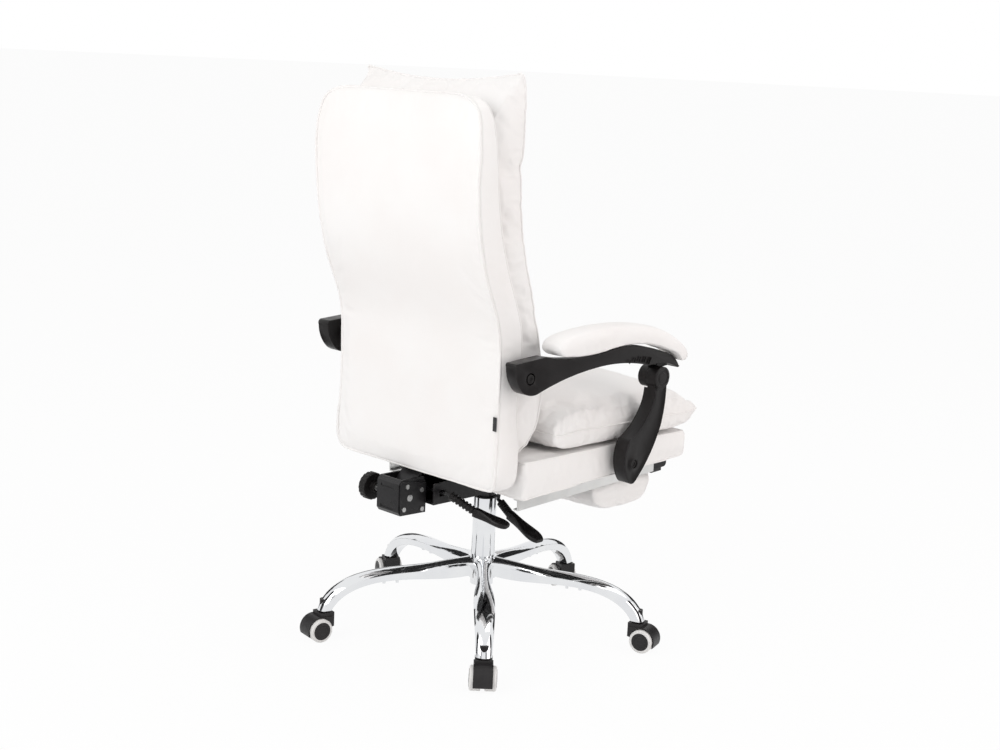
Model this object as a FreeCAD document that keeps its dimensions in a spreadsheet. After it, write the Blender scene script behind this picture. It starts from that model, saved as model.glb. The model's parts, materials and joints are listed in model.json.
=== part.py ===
import FreeCAD, Part
import math
import os
import re
import Sketcher
from FreeCAD import Placement, Rotation, Vector

# Reclining office chair with a pull-out footrest, in millimetres.
# The origin is on the floor under the swivel axis. The sitter faces -Y, +X is the sitter's left
# and +Z is up. All sizes are in the sheet below, one plain number for each alias.

os.makedirs("parts", exist_ok=True)
doc = FreeCAD.newDocument("ReclinerChair")
sheet = doc.addObject("Spreadsheet::Sheet", "Sizes")

SIZES = {
    # clearances
    "run_gap": 0.05, "soft_gap": 0.4, "face_gap": 0.3, "slide_gap": 0.25,
    # star base
    "star_angle": 136.5, "stem_circle": 350, "hub_radius": 31, "hub_bottom": 115, "hub_top": 162,
    "arm_root_level": 142, "arm_root_height": 38, "arm_root_width": 40,
    "arm_waist_reach": 150, "arm_waist_level": 134, "arm_waist_height": 29, "arm_waist_width": 34,
    "arm_knee_reach": 262, "arm_knee_level": 127, "arm_knee_height": 24, "arm_knee_width": 43,
    "arm_bend_reach": 322, "arm_bend_level": 101, "arm_bend_tilt": 50,
    "arm_tip_level": 63, "arm_tip_width": 33, "arm_tip_depth": 27,
    "rivet_radius": 3.5, "rivet_drop": 8, "rivet_reach": 191, "rivet_pitch": 29,
    # casters
    "stem_radius": 5.5, "stem_rise": 26, "insert_radius": 9, "insert_flange": 13,
    "insert_flange_height": 2.5, "trail": 17, "wheel_radius": 25, "wheel_width": 23,
    "wheel_gap": 8, "axle_radius": 4, "hood_radius": 28.5, "hood_wall": 2, "hood_width": 39,
    "neck_radius": 16, "hood_lip": 13, "neck_top": 60, "cap_radius": 19,
    "cap_depth": 1.5, "cap_wall": 2, "wheel_bevel": 2.5,
    "trail_near": 135, "trail_right": 198, "trail_far_right": 337, "trail_far_left": 335,
    "trail_left": 80,
    # gas column
    "column_radius": 25, "column_wall": 1.6, "column_bottom": 99, "column_top": 293,
    "column_floor": 4, "bush_length": 62, "bush_flange": 3, "gas_radius": 14, "gas_wall": 1.6,
    "gas_bottom": 133, "gas_cap": 6, "taper_start": 311, "taper_top": 345,
    "taper_radius": 13.2, "gas_head": 42, "rod_radius": 5, "rod_bottom": 92,
    "piston_level": 277, "piston_height": 10, "collar_radius": 12, "collar_height": 4,
    "washer_height": 2, "ball_radius": 1.5, "ball_count": 10, "clip_radius": 9, "clip_height": 2,
    "valve_radius": 3, "valve_rise": 8.2,
    # seat deck, a plane that falls towards the rear
    "seat_front": 368, "seat_back_gap": 6.49302122, "deck_level": 381, "deck_slope": 2.5,
    "seat_half": 250, "seat_belly": 4, "seat_edge": 9, "seat_draw": 3, "seat_top": 442, "board_half": 236,
    "board_inset": 14, "board_thick": 12,
    # seat pillow
    "pillow_front": 401, "pillow_rear": 66, "pillow_half": 243, "pillow_belly": 12,
    "pillow_seam": 485, "pillow_shoulder": 521, "pillow_crown": 34,
    # tilt mechanism
    "plate_thick": 3, "plate_half": 88, "plate_front": 118, "plate_rear": 128,
    "plate_hole_x": 70, "plate_hole_front": 95, "plate_hole_rear": 105, "bolt_radius": 3,
    "bolt_head": 6, "bolt_head_height": 4, "channel_right": 35, "channel_left": 53,
    "channel_front": 60, "channel_bottom": 311, "channel_wall": 3, "socket_radius": 20,
    "socket_bottom": 296, "case_middle": 24, "case_half": 33, "case_front": 186,
    "case_rear": 260, "case_bottom": 293, "case_top": 368, "case_wall": 4,
    "cheek_thick": 3, "screw_radius": 2.5, "screw_head": 5, "screw_head_height": 2.5,
    "pivot_back": 232, "pivot_level": 329, "shaft_radius": 7, "spring_radius": 17,
    "spring_wire": 3.6, "spring_turns": 3, "knob_inner": 99, "knob_radius": 29,
    "knob_width": 19, "knob_flutes": 18, "flute_radius": 3, "knob_hub": 11,
    "strap_half": 27, "strap_thick": 6, "strap_eye": 14, "strap_bend_level": 397,
    "strap_top": 603, "strap_hole_low": 443, "strap_hole_high": 563, "strap_hole_half": 16,
    # backrest
    "back_bottom": 383, "back_waist": 633, "back_bend": 718, "back_hollow": 818,
    "back_shoulder": 959, "back_top": 1153, "rear_low": 220, "rear_bend": 231,
    "rear_hollow": 271, "rear_high": 298, "shell_depth_low": 64, "shell_depth_hollow": 71,
    "shell_depth_shoulder": 62, "shell_depth_top": 42, "shell_half": 238, "shell_belly": 7,
    "shell_crown": 5, "board_back_half": 198, "board_back_low": 418, "board_back_drop": 55,
    "board_back_recess": 5, "overlay_bottom": 446, "overlay_rise": 45, "overlay_half": 214,
    "overlay_belly": 15, "seam_low": 88, "seam_hollow": 141, "seam_high": 165,
    "overlay_bulge": 62, "rest_sink": 8, "overlay_sag": 22,
    "tab_level": 525, "tab_height": 28, "tab_width": 9, "tab_thick": 1,
    # armrests
    "arm_clear": 17, "link_clear": 8, "arm_thick": 32, "arm_bolt_back": 187, "arm_bolt_level": 620,
    "knuckle_front": 209, "knuckle_level": 581, "knuckle_radius": 20, "knuckle_cap_width": 24,
    "knuckle_width": 43, "knuckle_pin": 6, "knuckle_bore": 13, "knuckle_cover": 4,
    "boss_radius": 13, "arm_bolt_radius": 5, "arm_bolt_head": 9, "arm_bolt_sink": 5,
    "link_bolt_front": 137, "link_bolt_level": 406, "pad_inset": 17, "pad_half": 28,
    "pad_belly": 5, "bolt_reach": 20,
    # levers
    "valve_lever_level": 355, "tongue_half": 6,
    "tongue_thick": 3.5, "lever_rod": 4, "grip_radius": 7, "grip_rib": 9.2, "grip_bore": 4.3, "grip_lead": 9,
    "paddle_half": 17, "recline_lever_back": 162,
    "recline_lever_level": 334,
    # footrest
    "rail_reach": 184, "rail_width": 12, "rail_height": 38, "rail_wall": 2.6, "rail_front": 44,
    "rail_length": 430, "runner_thick": 6, "runner_height": 18, "runner_length": 402,
    "flip_front": 6, "flip_drop": 26, "flip_pin": 4, "cross_back": 236, "cross_radius": 7,
    "rest_half": 176, "rest_front": 18, "rest_length": 200, "rest_drop": 36,
    "rest_board": 10, "rest_foam": 72, "rest_belly": 6, "lug_thick": 8, "lug_half": 9, "lug_reach": 22,
}

# sizes that follow from the ones above: what meets the seat and the back keeps its clearance
FOLLOWING = {
    "deck_length":
        "(seat_front + rear_low - shell_depth_low - seat_back_gap) / cos(deck_slope * 1deg)",
    "arm_outer": "max(seat_half + seat_belly + link_clear; shell_half + shell_belly + arm_clear)"
                 " + arm_thick",
    "knuckle_split": "arm_outer - knuckle_cap_width",
    "knuckle_inner": "arm_outer - knuckle_width",
    "pad_middle": "arm_outer - pad_inset",
    "overlay_top": "back_top + overlay_rise",
    "board_back_high": "back_top - board_back_drop",
}

row = 0
for alias, value in [*SIZES.items(), *((name, "=" + rule) for name, rule in FOLLOWING.items())]:
    row += 1
    sheet.set("A%d" % row, alias)
    sheet.set("B%d" % row, str(value))
    sheet.setAlias("B%d" % row, alias)
doc.recompute()


class SheetValues:
    """Reads a size back from the sheet by its alias."""

    def __getattr__(self, alias):
        return float(sheet.get(alias))


s = SheetValues()


# Helpers for sketch based pieces

def bind(text):
    """Writes the sheet's name before each alias in an expression."""
    named = {*SIZES, *FOLLOWING}
    return re.sub("[a-z_]+", lambda word: ("Sizes." if word.group() in named else "")
                  + word.group(), text)


def plane_of(body, role):
    for feature in body.Origin.OriginFeatures:
        if feature.Role == role:
            return feature


def new_body(label):
    body = doc.addObject("PartDesign::Body", label)
    body.Label = label
    return body


def outline_sketch(body, name, role, corners):
    """A closed outline of straight edges whose corners are pinned to sizes of the sheet."""
    sketch = body.newObject("Sketcher::SketchObject", name)
    sketch.AttachmentSupport = (plane_of(body, role), "")
    sketch.MapMode = "FlatFace"
    count = len(corners)
    start = [Vector(10 * math.cos(2 * math.pi * k / count), 10 * math.sin(2 * math.pi * k / count), 0)
             for k in range(count)]
    for k in range(count):
        sketch.addGeometry(Part.LineSegment(start[k], start[(k + 1) % count]), False)
    for k in range(count):
        sketch.addConstraint(Sketcher.Constraint("Coincident", k, 2, (k + 1) % count, 1))
    for k, (across, up) in enumerate(corners):
        for kind, value, text in (("DistanceX", start[k].x, across), ("DistanceY", start[k].y, up)):
            index = sketch.addConstraint(Sketcher.Constraint(kind, -1, 1, k, 1, value))
            sketch.setExpression("Constraints[%d]" % index, bind(text))
    return sketch


def circle_sketch(body, name, role, circles):
    """Circles given as centre and radius expressions."""
    sketch = body.newObject("Sketcher::SketchObject", name)
    sketch.AttachmentSupport = (plane_of(body, role), "")
    sketch.MapMode = "FlatFace"
    for k, (across, up, radius) in enumerate(circles):
        sketch.addGeometry(Part.Circle(Vector(3 * k, 1, 0), Vector(0, 0, 1), 1), False)
        for kind, value, text in (("DistanceX", 3.0 * k, across), ("DistanceY", 1.0, up)):
            index = sketch.addConstraint(Sketcher.Constraint(kind, -1, 1, k, 3, value))
            sketch.setExpression("Constraints[%d]" % index, bind(text))
        index = sketch.addConstraint(Sketcher.Constraint("Radius", k, 1.0))
        sketch.setExpression("Constraints[%d]" % index, bind(radius))
    return sketch


def revolve(body, corners, name="Turned"):
    """Turns a radius and height outline about the upright axis."""
    sketch = outline_sketch(body, body.Label + "_" + name + "_outline", "XZ_Plane", corners)
    feature = body.newObject("PartDesign::Revolution", body.Label + "_" + name)
    feature.Profile = sketch
    feature.ReferenceAxis = (sketch, ["V_Axis"])
    feature.Angle = 360
    body.Tip = feature
    return feature


def pad(body, sketch, length, symmetric=False, reversed_side=False):
    feature = body.newObject("PartDesign::Pad", sketch.Name + "_pad")
    feature.Profile = sketch
    feature.setExpression("Length", bind(length))
    feature.SideType = "Symmetric" if symmetric else "One side"
    feature.Reversed = reversed_side
    body.Tip = feature
    return feature


def pocket(body, sketch):
    """Cuts through everything, both ways from the sketch."""
    doc.recompute()
    before = body.Tip.Shape.Volume
    feature = body.newObject("PartDesign::Pocket", sketch.Name + "_cut")
    feature.Profile = sketch
    feature.Type = "ThroughAll"
    feature.SideType = "Symmetric"
    body.Tip = feature
    doc.recompute()
    if not feature.Shape.Volume < before - 0.01:
        raise RuntimeError("the pocket %s removed nothing" % feature.Name)
    return feature


# Helpers for pieces whose shape is set in code

def feature(label, shape):
    piece = doc.addObject("Part::Feature", label)
    piece.Label = label
    piece.Shape = shape
    return piece


def block(x0, x1, y0, y1, z0, z1):
    return Part.makeBox(x1 - x0, y1 - y0, z1 - z0, Vector(x0, y0, z0))


def rod(start, end, radius):
    along = end - start
    return Part.makeCylinder(radius, along.Length, start, along)


def wire_of(parts):
    """A closed wire of lines (two points) and arcs (three points)."""
    edges = []
    for points in parts:
        if len(points) == 2:
            edges.append(Part.LineSegment(points[0], points[1]).toShape())
        else:
            edges.append(Part.Arc(points[0], points[1], points[2]).toShape())
    return Part.Wire(edges)


def side_plate(parts, x0, x1):
    """A closed side outline, given as (y, z) points, extruded from x0 to x1."""
    lifted = [[Vector(x0, y, z) for y, z in points] for points in parts]
    return Part.Face(wire_of(lifted)).extrude(Vector(x1 - x0, 0, 0))


def polygon_plate(corners, x0, x1):
    closed = list(corners) + [corners[0]]
    return side_plate([[closed[k], closed[k + 1]] for k in range(len(corners))], x0, x1)


def cushion_ring(at, half, low, high, belly, crown, sag=0.0):
    """A cushion's cross section: flat or sagging below, crowned above, with bulging sides."""
    middle = (low + high) / 2
    below = [at(-half, low), at(half, low)]
    if sag:
        below = [at(-half, low), at(0, low - sag), at(half, low)]
    return wire_of([
        below,
        [at(half, low), at(half + belly, middle), at(half, high)],
        [at(half, high), at(0, high + crown), at(-half, high)],
        [at(-half, high), at(-half - belly, middle), at(-half, low)],
    ])


def rounding(depth, radius):
    """How far a rounded end has drawn in at a depth behind its tip."""
    if depth >= radius:
        return 0.0
    return radius - math.sqrt(max(0.0, radius * radius - (radius - depth) ** 2))


def spread(length, edge):
    """Places along a cushion, close together round its two ends."""
    near = [edge * share for share in (0, 0.06, 0.25, 0.6, 1.0, 2.0, 4.5)]
    far = [length - place for place in near[::-1]]
    return near + [length * 0.28, length * 0.5, length * 0.72] + far


def mirrored(shape):
    return shape.mirror(Vector(0, 0, 0), Vector(1, 0, 0))


def blend(first, second, share):
    return first + (second - first) * share


# Star base

def arm_ring(reach, level, tilt, width, height):
    """One section of a star arm, square to the arm's run, with a rounded top."""
    angle = math.radians(tilt)
    up = Vector(math.sin(angle), 0, math.cos(angle))
    centre = Vector(reach, 0, level)
    half = width / 2

    def at(side, rise):
        return centre + Vector(0, side, 0) + up * rise

    low, shoulder, high = -height / 2, height / 8, height / 2
    return wire_of([
        [at(-half * 0.8, low), at(half * 0.8, low)],
        [at(half * 0.8, low), at(half, shoulder)],
        [at(half, shoulder), at(0, high), at(-half, shoulder)],
        [at(-half, shoulder), at(-half * 0.8, low)],
    ])


def star_arm():
    rings = [
        arm_ring(s.hub_radius - 8, s.arm_root_level, 4, s.arm_root_width, s.arm_root_height),
        arm_ring(s.arm_waist_reach, s.arm_waist_level, 3, s.arm_waist_width, s.arm_waist_height),
        arm_ring(s.arm_knee_reach, s.arm_knee_level, 12, s.arm_knee_width, s.arm_knee_height),
        arm_ring(s.arm_bend_reach, s.arm_bend_level, s.arm_bend_tilt,
                 (s.arm_knee_width + s.arm_tip_width) / 2, s.arm_tip_depth),
        arm_ring(s.stem_circle, s.arm_tip_level, 90, s.arm_tip_width, s.arm_tip_depth),
    ]
    arm = Part.makeLoft(rings, True, False)
    for k in range(2):
        reach = s.rivet_reach + k * s.rivet_pitch
        arm = arm.fuse(rod(Vector(reach, 0, s.arm_waist_level), Vector(reach, 0, rivet_foot()),
                           s.rivet_radius))
    hole = rod(Vector(s.stem_circle, 0, s.arm_tip_level - 1),
               Vector(s.stem_circle, 0, insert_top() + s.face_gap), s.insert_radius)
    return arm.cut(hole)


def rivet_foot():
    return s.arm_waist_level - s.arm_waist_height / 2 - s.rivet_drop


def insert_top():
    return s.arm_tip_level + s.stem_rise - s.insert_flange_height


def arm_angles():
    return [s.star_angle + 72 * k for k in range(5)]


def star_base():
    star = rod(Vector(0, 0, s.hub_bottom), Vector(0, 0, s.hub_top), s.hub_radius)
    arm = star_arm()
    for angle in arm_angles():
        turned = arm.copy()
        turned.rotate(Vector(0, 0, 0), Vector(0, 0, 1), angle)
        star = star.fuse(turned)
    bore = rod(Vector(0, 0, s.hub_bottom - 30), Vector(0, 0, s.hub_top + 1),
               s.column_radius + s.run_gap)
    return star.cut(bore)


feature("star_base", star_base())


def stem_inserts():
    """The plastic sleeve in each arm's end that grips the caster's stem."""
    inserts = []
    for angle in arm_angles():
        foot = Vector(s.stem_circle, 0, s.arm_tip_level - s.insert_flange_height)
        seat = Vector(s.stem_circle, 0, s.arm_tip_level)
        top = Vector(s.stem_circle, 0, insert_top())
        sleeve = rod(foot, seat, s.insert_flange).fuse(rod(foot, top, s.insert_radius - s.run_gap))
        sleeve = sleeve.cut(rod(foot - Vector(0, 0, 1), top + Vector(0, 0, 1),
                                s.stem_radius + s.run_gap))
        sleeve.rotate(Vector(0, 0, 0), Vector(0, 0, 1), angle)
        inserts.append(sleeve)
    return Part.makeCompound(inserts)


feature("stem_inserts", stem_inserts())


# Casters, first built with the stem at the origin and the wheels trailing along +X

def caster_hood():
    axle = Vector(s.trail, 0, s.wheel_radius)
    across = Vector(0, s.hood_width / 2, 0)
    dome = rod(axle - across, axle + across, s.hood_radius)
    front_cut = block(s.trail - 60, s.trail - 16, -40, 40, -10, s.wheel_radius + 6)
    foot_cut = block(-60, 120, -40, 40, -10, s.hood_lip)
    half, low = s.hood_width / 2, s.wheel_radius + 4
    neck = block(-s.neck_radius, s.neck_radius, -half + 2, half - 2, low, s.neck_top)
    cheeks = block(-s.neck_radius + 4, s.neck_radius, -half, half, low, s.neck_top - 8)
    hood = dome.cut(front_cut).cut(foot_cut).fuse(neck).fuse(cheeks)
    web = s.wheel_gap / 2
    wheel_space = s.hood_radius - s.hood_wall
    for side in (-1, 1):
        inner = axle + Vector(0, side * web, 0)
        outer = axle + Vector(0, side * (s.hood_width / 2 + 1), 0)
        hood = hood.cut(rod(inner, outer, wheel_space))
    hood = hood.cut(rod(axle - across, axle + across, s.axle_radius + s.run_gap))
    hood = hood.cut(rod(Vector(0, 0, s.neck_top - 14), Vector(0, 0, s.neck_top + 1),
                        s.stem_radius))
    return hood


def caster_pins():
    """The steel stem, pressed into the hood, and the axle across it."""
    stem = rod(Vector(0, 0, s.neck_top - 14), Vector(0, 0, insert_top() - 1), s.stem_radius)
    axle = Vector(s.trail, 0, s.wheel_radius)
    reach = Vector(0, s.wheel_gap / 2 + s.wheel_width - 4, 0)
    return Part.makeCompound([stem, rod(axle - reach, axle + reach, s.axle_radius)])


def caster_wheel(side):
    """A wheel with a bevelled tread and a shallow recess that holds its round cap."""
    inner = s.wheel_gap / 2 + s.face_gap
    outer = s.wheel_gap / 2 + s.wheel_width
    bore, radius = s.axle_radius + s.run_gap, s.wheel_radius
    blind = outer - s.cap_depth - s.cap_wall
    outline = [
        (bore, inner), (radius - 1, inner), (radius, inner + 1), (radius, outer - s.wheel_bevel),
        (radius - s.wheel_bevel, outer), (s.cap_radius, outer), (s.cap_radius, outer - s.cap_depth),
        (0, outer - s.cap_depth), (0, blind), (bore, blind), (bore, inner),
    ]
    points = [Vector(s.trail + out, side * along, s.wheel_radius) for out, along in outline]
    turned = Part.Face(Part.makePolygon(points))
    return turned.revolve(Vector(s.trail, 0, s.wheel_radius), Vector(0, 1, 0), 360)


CASTERS = ["near", "right", "far_right", "far_left", "left"]


def caster_place(index):
    angle = math.radians(arm_angles()[index])
    turn = getattr(s, "trail_" + CASTERS[index])
    place = Vector(s.stem_circle * math.cos(angle), s.stem_circle * math.sin(angle), 0)
    return Placement(place, Rotation(Vector(0, 0, 1), turn))


for index, side_name in enumerate(CASTERS):
    for label, shape in (("hood", caster_hood()), ("pins", caster_pins()),
                         ("wheel_a", caster_wheel(1)), ("wheel_b", caster_wheel(-1))):
        piece = feature("caster_%s_%s" % (side_name, label), shape)
        piece.Placement = caster_place(index)


# Gas column

column_tube = new_body("column_tube")
revolve(column_tube, [
    ("rod_radius + 2", "column_bottom"), ("column_radius", "column_bottom"),
    ("column_radius", "column_top"), ("column_radius - column_wall", "column_top"),
    ("column_radius - column_wall", "column_bottom + column_floor"),
    ("rod_radius + 2", "column_bottom + column_floor"),
])

guide_bush = new_body("guide_bush")
revolve(guide_bush, [
    ("gas_radius + run_gap", "column_top - bush_length"),
    ("column_radius - column_wall - run_gap", "column_top - bush_length"),
    ("column_radius - column_wall - run_gap", "column_top"),
    ("column_radius", "column_top"), ("column_radius", "column_top + bush_flange"),
    ("gas_radius + run_gap", "column_top + bush_flange"),
])


def thrust_bearing():
    """Two washers with a ring of balls between them, on the column's floor."""
    floor = s.column_bottom + s.column_floor
    upper = floor + s.washer_height + 2 * s.ball_radius + 2 * s.run_gap
    parts = []
    for level in (floor, upper):
        washer = rod(Vector(0, 0, level), Vector(0, 0, level + s.washer_height), s.collar_radius)
        bore = rod(Vector(0, 0, level - 1), Vector(0, 0, level + s.washer_height + 1),
                   s.rod_radius + s.face_gap)
        parts.append(washer.cut(bore))
    track = (s.rod_radius + s.collar_radius) / 2
    level = floor + s.washer_height + s.run_gap + s.ball_radius
    for k in range(int(s.ball_count)):
        angle = 2 * math.pi * k / int(s.ball_count)
        parts.append(Part.makeSphere(s.ball_radius, Vector(track * math.cos(angle),
                                                           track * math.sin(angle), level)))
    return Part.makeCompound(parts)


feature("thrust_bearing", thrust_bearing())

SHOULDER = "column_bottom + column_floor + 2 * washer_height + 2 * ball_radius + 3 * run_gap"
piston_rod = new_body("piston_rod")
revolve(piston_rod, [
    ("0", "rod_bottom"), ("rod_radius", "rod_bottom"), ("rod_radius", SHOULDER),
    ("collar_radius", SHOULDER), ("collar_radius", SHOULDER + " + collar_height"),
    ("rod_radius", SHOULDER + " + collar_height"), ("rod_radius", "piston_level"),
    ("gas_radius - gas_wall - run_gap", "piston_level"),
    ("gas_radius - gas_wall - run_gap", "piston_level + piston_height"),
    ("0", "piston_level + piston_height"),
])

rod_clip = new_body("rod_clip")
revolve(rod_clip, [
    ("rod_radius + run_gap", "column_bottom - run_gap - clip_height"),
    ("clip_radius", "column_bottom - run_gap - clip_height"),
    ("clip_radius", "column_bottom - run_gap"),
    ("rod_radius + run_gap", "column_bottom - run_gap"),
])

pressure_tube = new_body("pressure_tube")
revolve(pressure_tube, [
    ("rod_radius + run_gap", "gas_bottom"), ("gas_radius", "gas_bottom"),
    ("gas_radius", "taper_start"), ("taper_radius", "taper_top"),
    ("valve_radius + run_gap", "taper_top"), ("valve_radius + run_gap", "taper_top - gas_head"),
    ("gas_radius - gas_wall", "taper_top - gas_head"),
    ("gas_radius - gas_wall", "gas_bottom + gas_cap"),
    ("rod_radius + run_gap", "gas_bottom + gas_cap"),
])

valve_pin = new_body("valve_pin")
revolve(valve_pin, [
    ("0", "taper_top - gas_head + 2"), ("valve_radius", "taper_top - gas_head + 2"),
    ("valve_radius", "taper_top + valve_rise"), ("0", "taper_top + valve_rise"),
])


# Seat deck. Its own frame has y from the seat's lower front edge rearwards and z square to it.

def deck_place():
    return Placement(Vector(0, -s.seat_front, s.deck_level),
                     Rotation(Vector(1, 0, 0), -s.deck_slope))


def deck_level_at(y):
    return s.deck_level - (y + s.seat_front) * math.tan(math.radians(s.deck_slope))


def deck_rear():
    return s.deck_length * math.cos(math.radians(s.deck_slope)) - s.seat_front


def on_deck(label, shape):
    piece = feature(label, shape)
    piece.Placement = deck_place()
    return piece


seat_board = new_body("seat_board")
board_outline = outline_sketch(seat_board, "seat_board_outline", "XY_Plane", [
    ("0 - board_half", "board_inset"), ("board_half", "board_inset"),
    ("board_half", "deck_length - board_inset"), ("0 - board_half", "deck_length - board_inset"),
])
pad(seat_board, board_outline, "board_thick")
pocket(seat_board, circle_sketch(seat_board, "mount_holes", "XY_Plane", [
    ("%s plate_hole_x" % side, "(seat_front %s) / cos(deck_slope * 1deg)" % row,
     "bolt_radius + face_gap")
    for side in ("0 -", "") for row in ("- plate_hole_front", "+ plate_hole_rear")]))
seat_board.Placement = deck_place()


def seat_cushion():
    """The lower seat cushion: boxed, with drawn-in sides and a pocket below for the board."""
    front, rear = -s.seat_front, deck_rear()
    rings = []
    length = rear - front
    for reach in spread(length, s.seat_edge):
        y = front + reach
        ease = rounding(min(reach, length - reach), s.seat_edge)
        draw = s.seat_draw * math.sin(math.pi * reach / length)

        def at(across, up, y=y):
            return Vector(across, y, up)

        rings.append(cushion_ring(at, s.seat_half - ease - draw, deck_level_at(y) + ease / 2,
                                  s.seat_top - 0.6 - ease, s.seat_belly, 0.6))
    body = Part.makeLoft(rings, True, False)
    gap = s.face_gap
    hollow = block(-s.board_half - gap, s.board_half + gap, s.board_inset - gap,
                   s.deck_length - s.board_inset + gap, -30, s.board_thick + gap)
    hollow.Placement = deck_place()
    body = body.cut(hollow)
    for side in (-1, 1):
        body = body.cut(rod(
            Vector(side * (s.seat_half + 40), -s.link_bolt_front, s.link_bolt_level),
            Vector(side * (s.seat_half - s.bolt_reach - 1), -s.link_bolt_front, s.link_bolt_level),
            s.arm_bolt_radius + s.run_gap))
    return body


feature("seat_cushion", seat_cushion())


def seat_pillow():
    """The loose pillow on the seat: a crowned pillow whose side seam stands out like an ear."""
    low = s.seat_top + s.soft_gap
    front, rear = -s.pillow_front, s.pillow_rear
    seam = s.pillow_seam
    stations = (
        (0.0, -6, seam - 4, seam + 6, 2), (0.035, 0, seam - 24, seam + 20, 10),
        (0.12, -1, low + 3, s.pillow_shoulder - 4, s.pillow_crown * 0.55),
        (0.35, -4, low, s.pillow_shoulder, s.pillow_crown),
        (0.65, -5, low, s.pillow_shoulder + 2, s.pillow_crown),
        (0.90, -2, low + 2, s.pillow_shoulder, s.pillow_crown * 0.7),
        (0.97, 0, low + 12, s.pillow_shoulder - 12, s.pillow_crown * 0.4),
        (1.0, -8, seam - 12, seam + 10, 5),
    )
    rings = []
    for share, draw, under, over, crown in stations:
        y = blend(front, rear, share)

        def at(across, up, y=y):
            return Vector(across, y, up)

        rings.append(cushion_ring(at, s.pillow_half + draw, under, over, s.pillow_belly, crown))
    pillow = Part.makeLoft(rings, True, False)
    return pillow.cut(block(-400, 400, front - 50, rear + 50, low - 100, low))


feature("seat_pillow", seat_pillow())


# Tilt mechanism

def plate_deck_y(y):
    return (y + s.seat_front) / math.cos(math.radians(s.deck_slope))


def plate_holes():
    """The four bolt places in the deck's own frame."""
    rows = (plate_deck_y(-s.plate_hole_front), plate_deck_y(s.plate_hole_rear))
    return [(side * s.plate_hole_x, y) for side in (-1, 1) for y in rows]


def tilt_frame():
    """The welded steel plate and channel under the seat, with the gas column's taper socket."""
    plate = block(-s.plate_half, s.plate_half, plate_deck_y(-s.plate_front),
                  plate_deck_y(s.plate_rear), -s.plate_thick, 0)
    for x, y in plate_holes():
        plate = plate.cut(rod(Vector(x, y, -s.plate_thick - 1), Vector(x, y, 1),
                              s.bolt_radius + s.face_gap))
    plate.Placement = deck_place()
    rear = s.case_front
    under = s.plate_thick / 2
    left, right, wall = s.channel_left, -s.channel_right, s.channel_wall
    outline = [(-s.channel_front, s.channel_bottom), (rear, s.channel_bottom),
               (rear, deck_level_at(rear) - under), (-s.channel_front,
                                                     deck_level_at(-s.channel_front) - under)]
    channel = polygon_plate(outline, right, left)
    channel = channel.cut(block(right + wall, left - wall, -s.channel_front + wall, rear + 1,
                                s.channel_bottom + wall, 500))
    socket = rod(Vector(0, 0, s.socket_bottom), Vector(0, 0, s.taper_top), s.socket_radius)
    frame = plate.fuse(channel).fuse(socket)
    slope = (s.gas_radius - s.taper_radius) / (s.taper_top - s.taper_start)
    mouth = s.gas_radius + slope * (s.taper_start - s.socket_bottom + 1)
    taper = Part.makeCone(mouth + s.run_gap, s.taper_radius + s.run_gap,
                          s.taper_top - s.socket_bottom + 1, Vector(0, 0, s.socket_bottom - 1))
    frame = frame.cut(taper)
    for y, level in ((0, s.valve_lever_level), (s.recline_lever_back, s.recline_lever_level)):
        window = block(right - 1, right + wall + 1, y - s.tongue_half - 2, y + s.tongue_half + 2,
                       level - 7, level + 6)
        frame = frame.cut(window)
        for side in (-1, 1):
            pin = rod(Vector(right + wall / 2, y + side * (s.tongue_half + 1), level),
                      Vector(right + wall / 2, y + side * (s.tongue_half + 5), level), 1.4)
            frame = frame.cut(pin)
    return frame


feature("tilt_frame", tilt_frame())


def spring_case():
    """The cast case round the tilt pivot, open at the top where the back strap swings."""
    wall = s.case_wall
    x0, x1 = s.case_middle - s.case_half, s.case_middle + s.case_half
    outline = [(s.case_front, s.case_bottom - 2), (s.case_rear - 6, s.case_bottom),
               (s.case_rear, s.case_bottom + 8), (s.case_rear, s.case_top - 8),
               (s.case_rear - 8, s.case_top), (s.case_front + 6, s.case_top),
               (s.case_front, s.case_top - 12)]
    case = polygon_plate(outline, x0, x1)
    case = case.cut(block(x0 + wall, x1 - wall, s.case_front + wall, s.case_rear - wall,
                          s.case_bottom + wall, s.case_top - wall))
    slot = block(s.case_middle - s.strap_half - 1.5, s.case_middle + s.strap_half + 1.5,
                 s.case_front - 1, s.case_rear - 11, s.case_top - wall - 1, s.case_top + 1)
    case = case.cut(slot)
    case = case.cut(rod(Vector(x0 - 1, s.pivot_back, s.pivot_level),
                        Vector(x1 + 1, s.pivot_back, s.pivot_level),
                        s.shaft_radius + s.run_gap))
    for level in (s.case_bottom + 14, s.case_top - 17):
        case = case.cut(block(x0 + 13, x1 - 11, s.case_rear - 1.5, s.case_rear + 1,
                              level - 3, level + 3))
    for x, y, z in cheek_screw_places():
        case = case.cut(rod(Vector(x0 - 1, y, z), Vector(x0 + wall + 1, y, z),
                            s.screw_radius + s.run_gap))
    return case


def cheek_screw_places():
    x = s.case_middle - s.case_half
    return [(x, y, z) for y, z in (
        (s.case_rear - 20, s.case_top - 14), (s.case_front + 14, s.case_top - 26),
        (s.case_rear - 12, s.case_bottom + 14), (s.case_front + 12, s.case_bottom + 8))]


feature("spring_case", spring_case())

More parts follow.
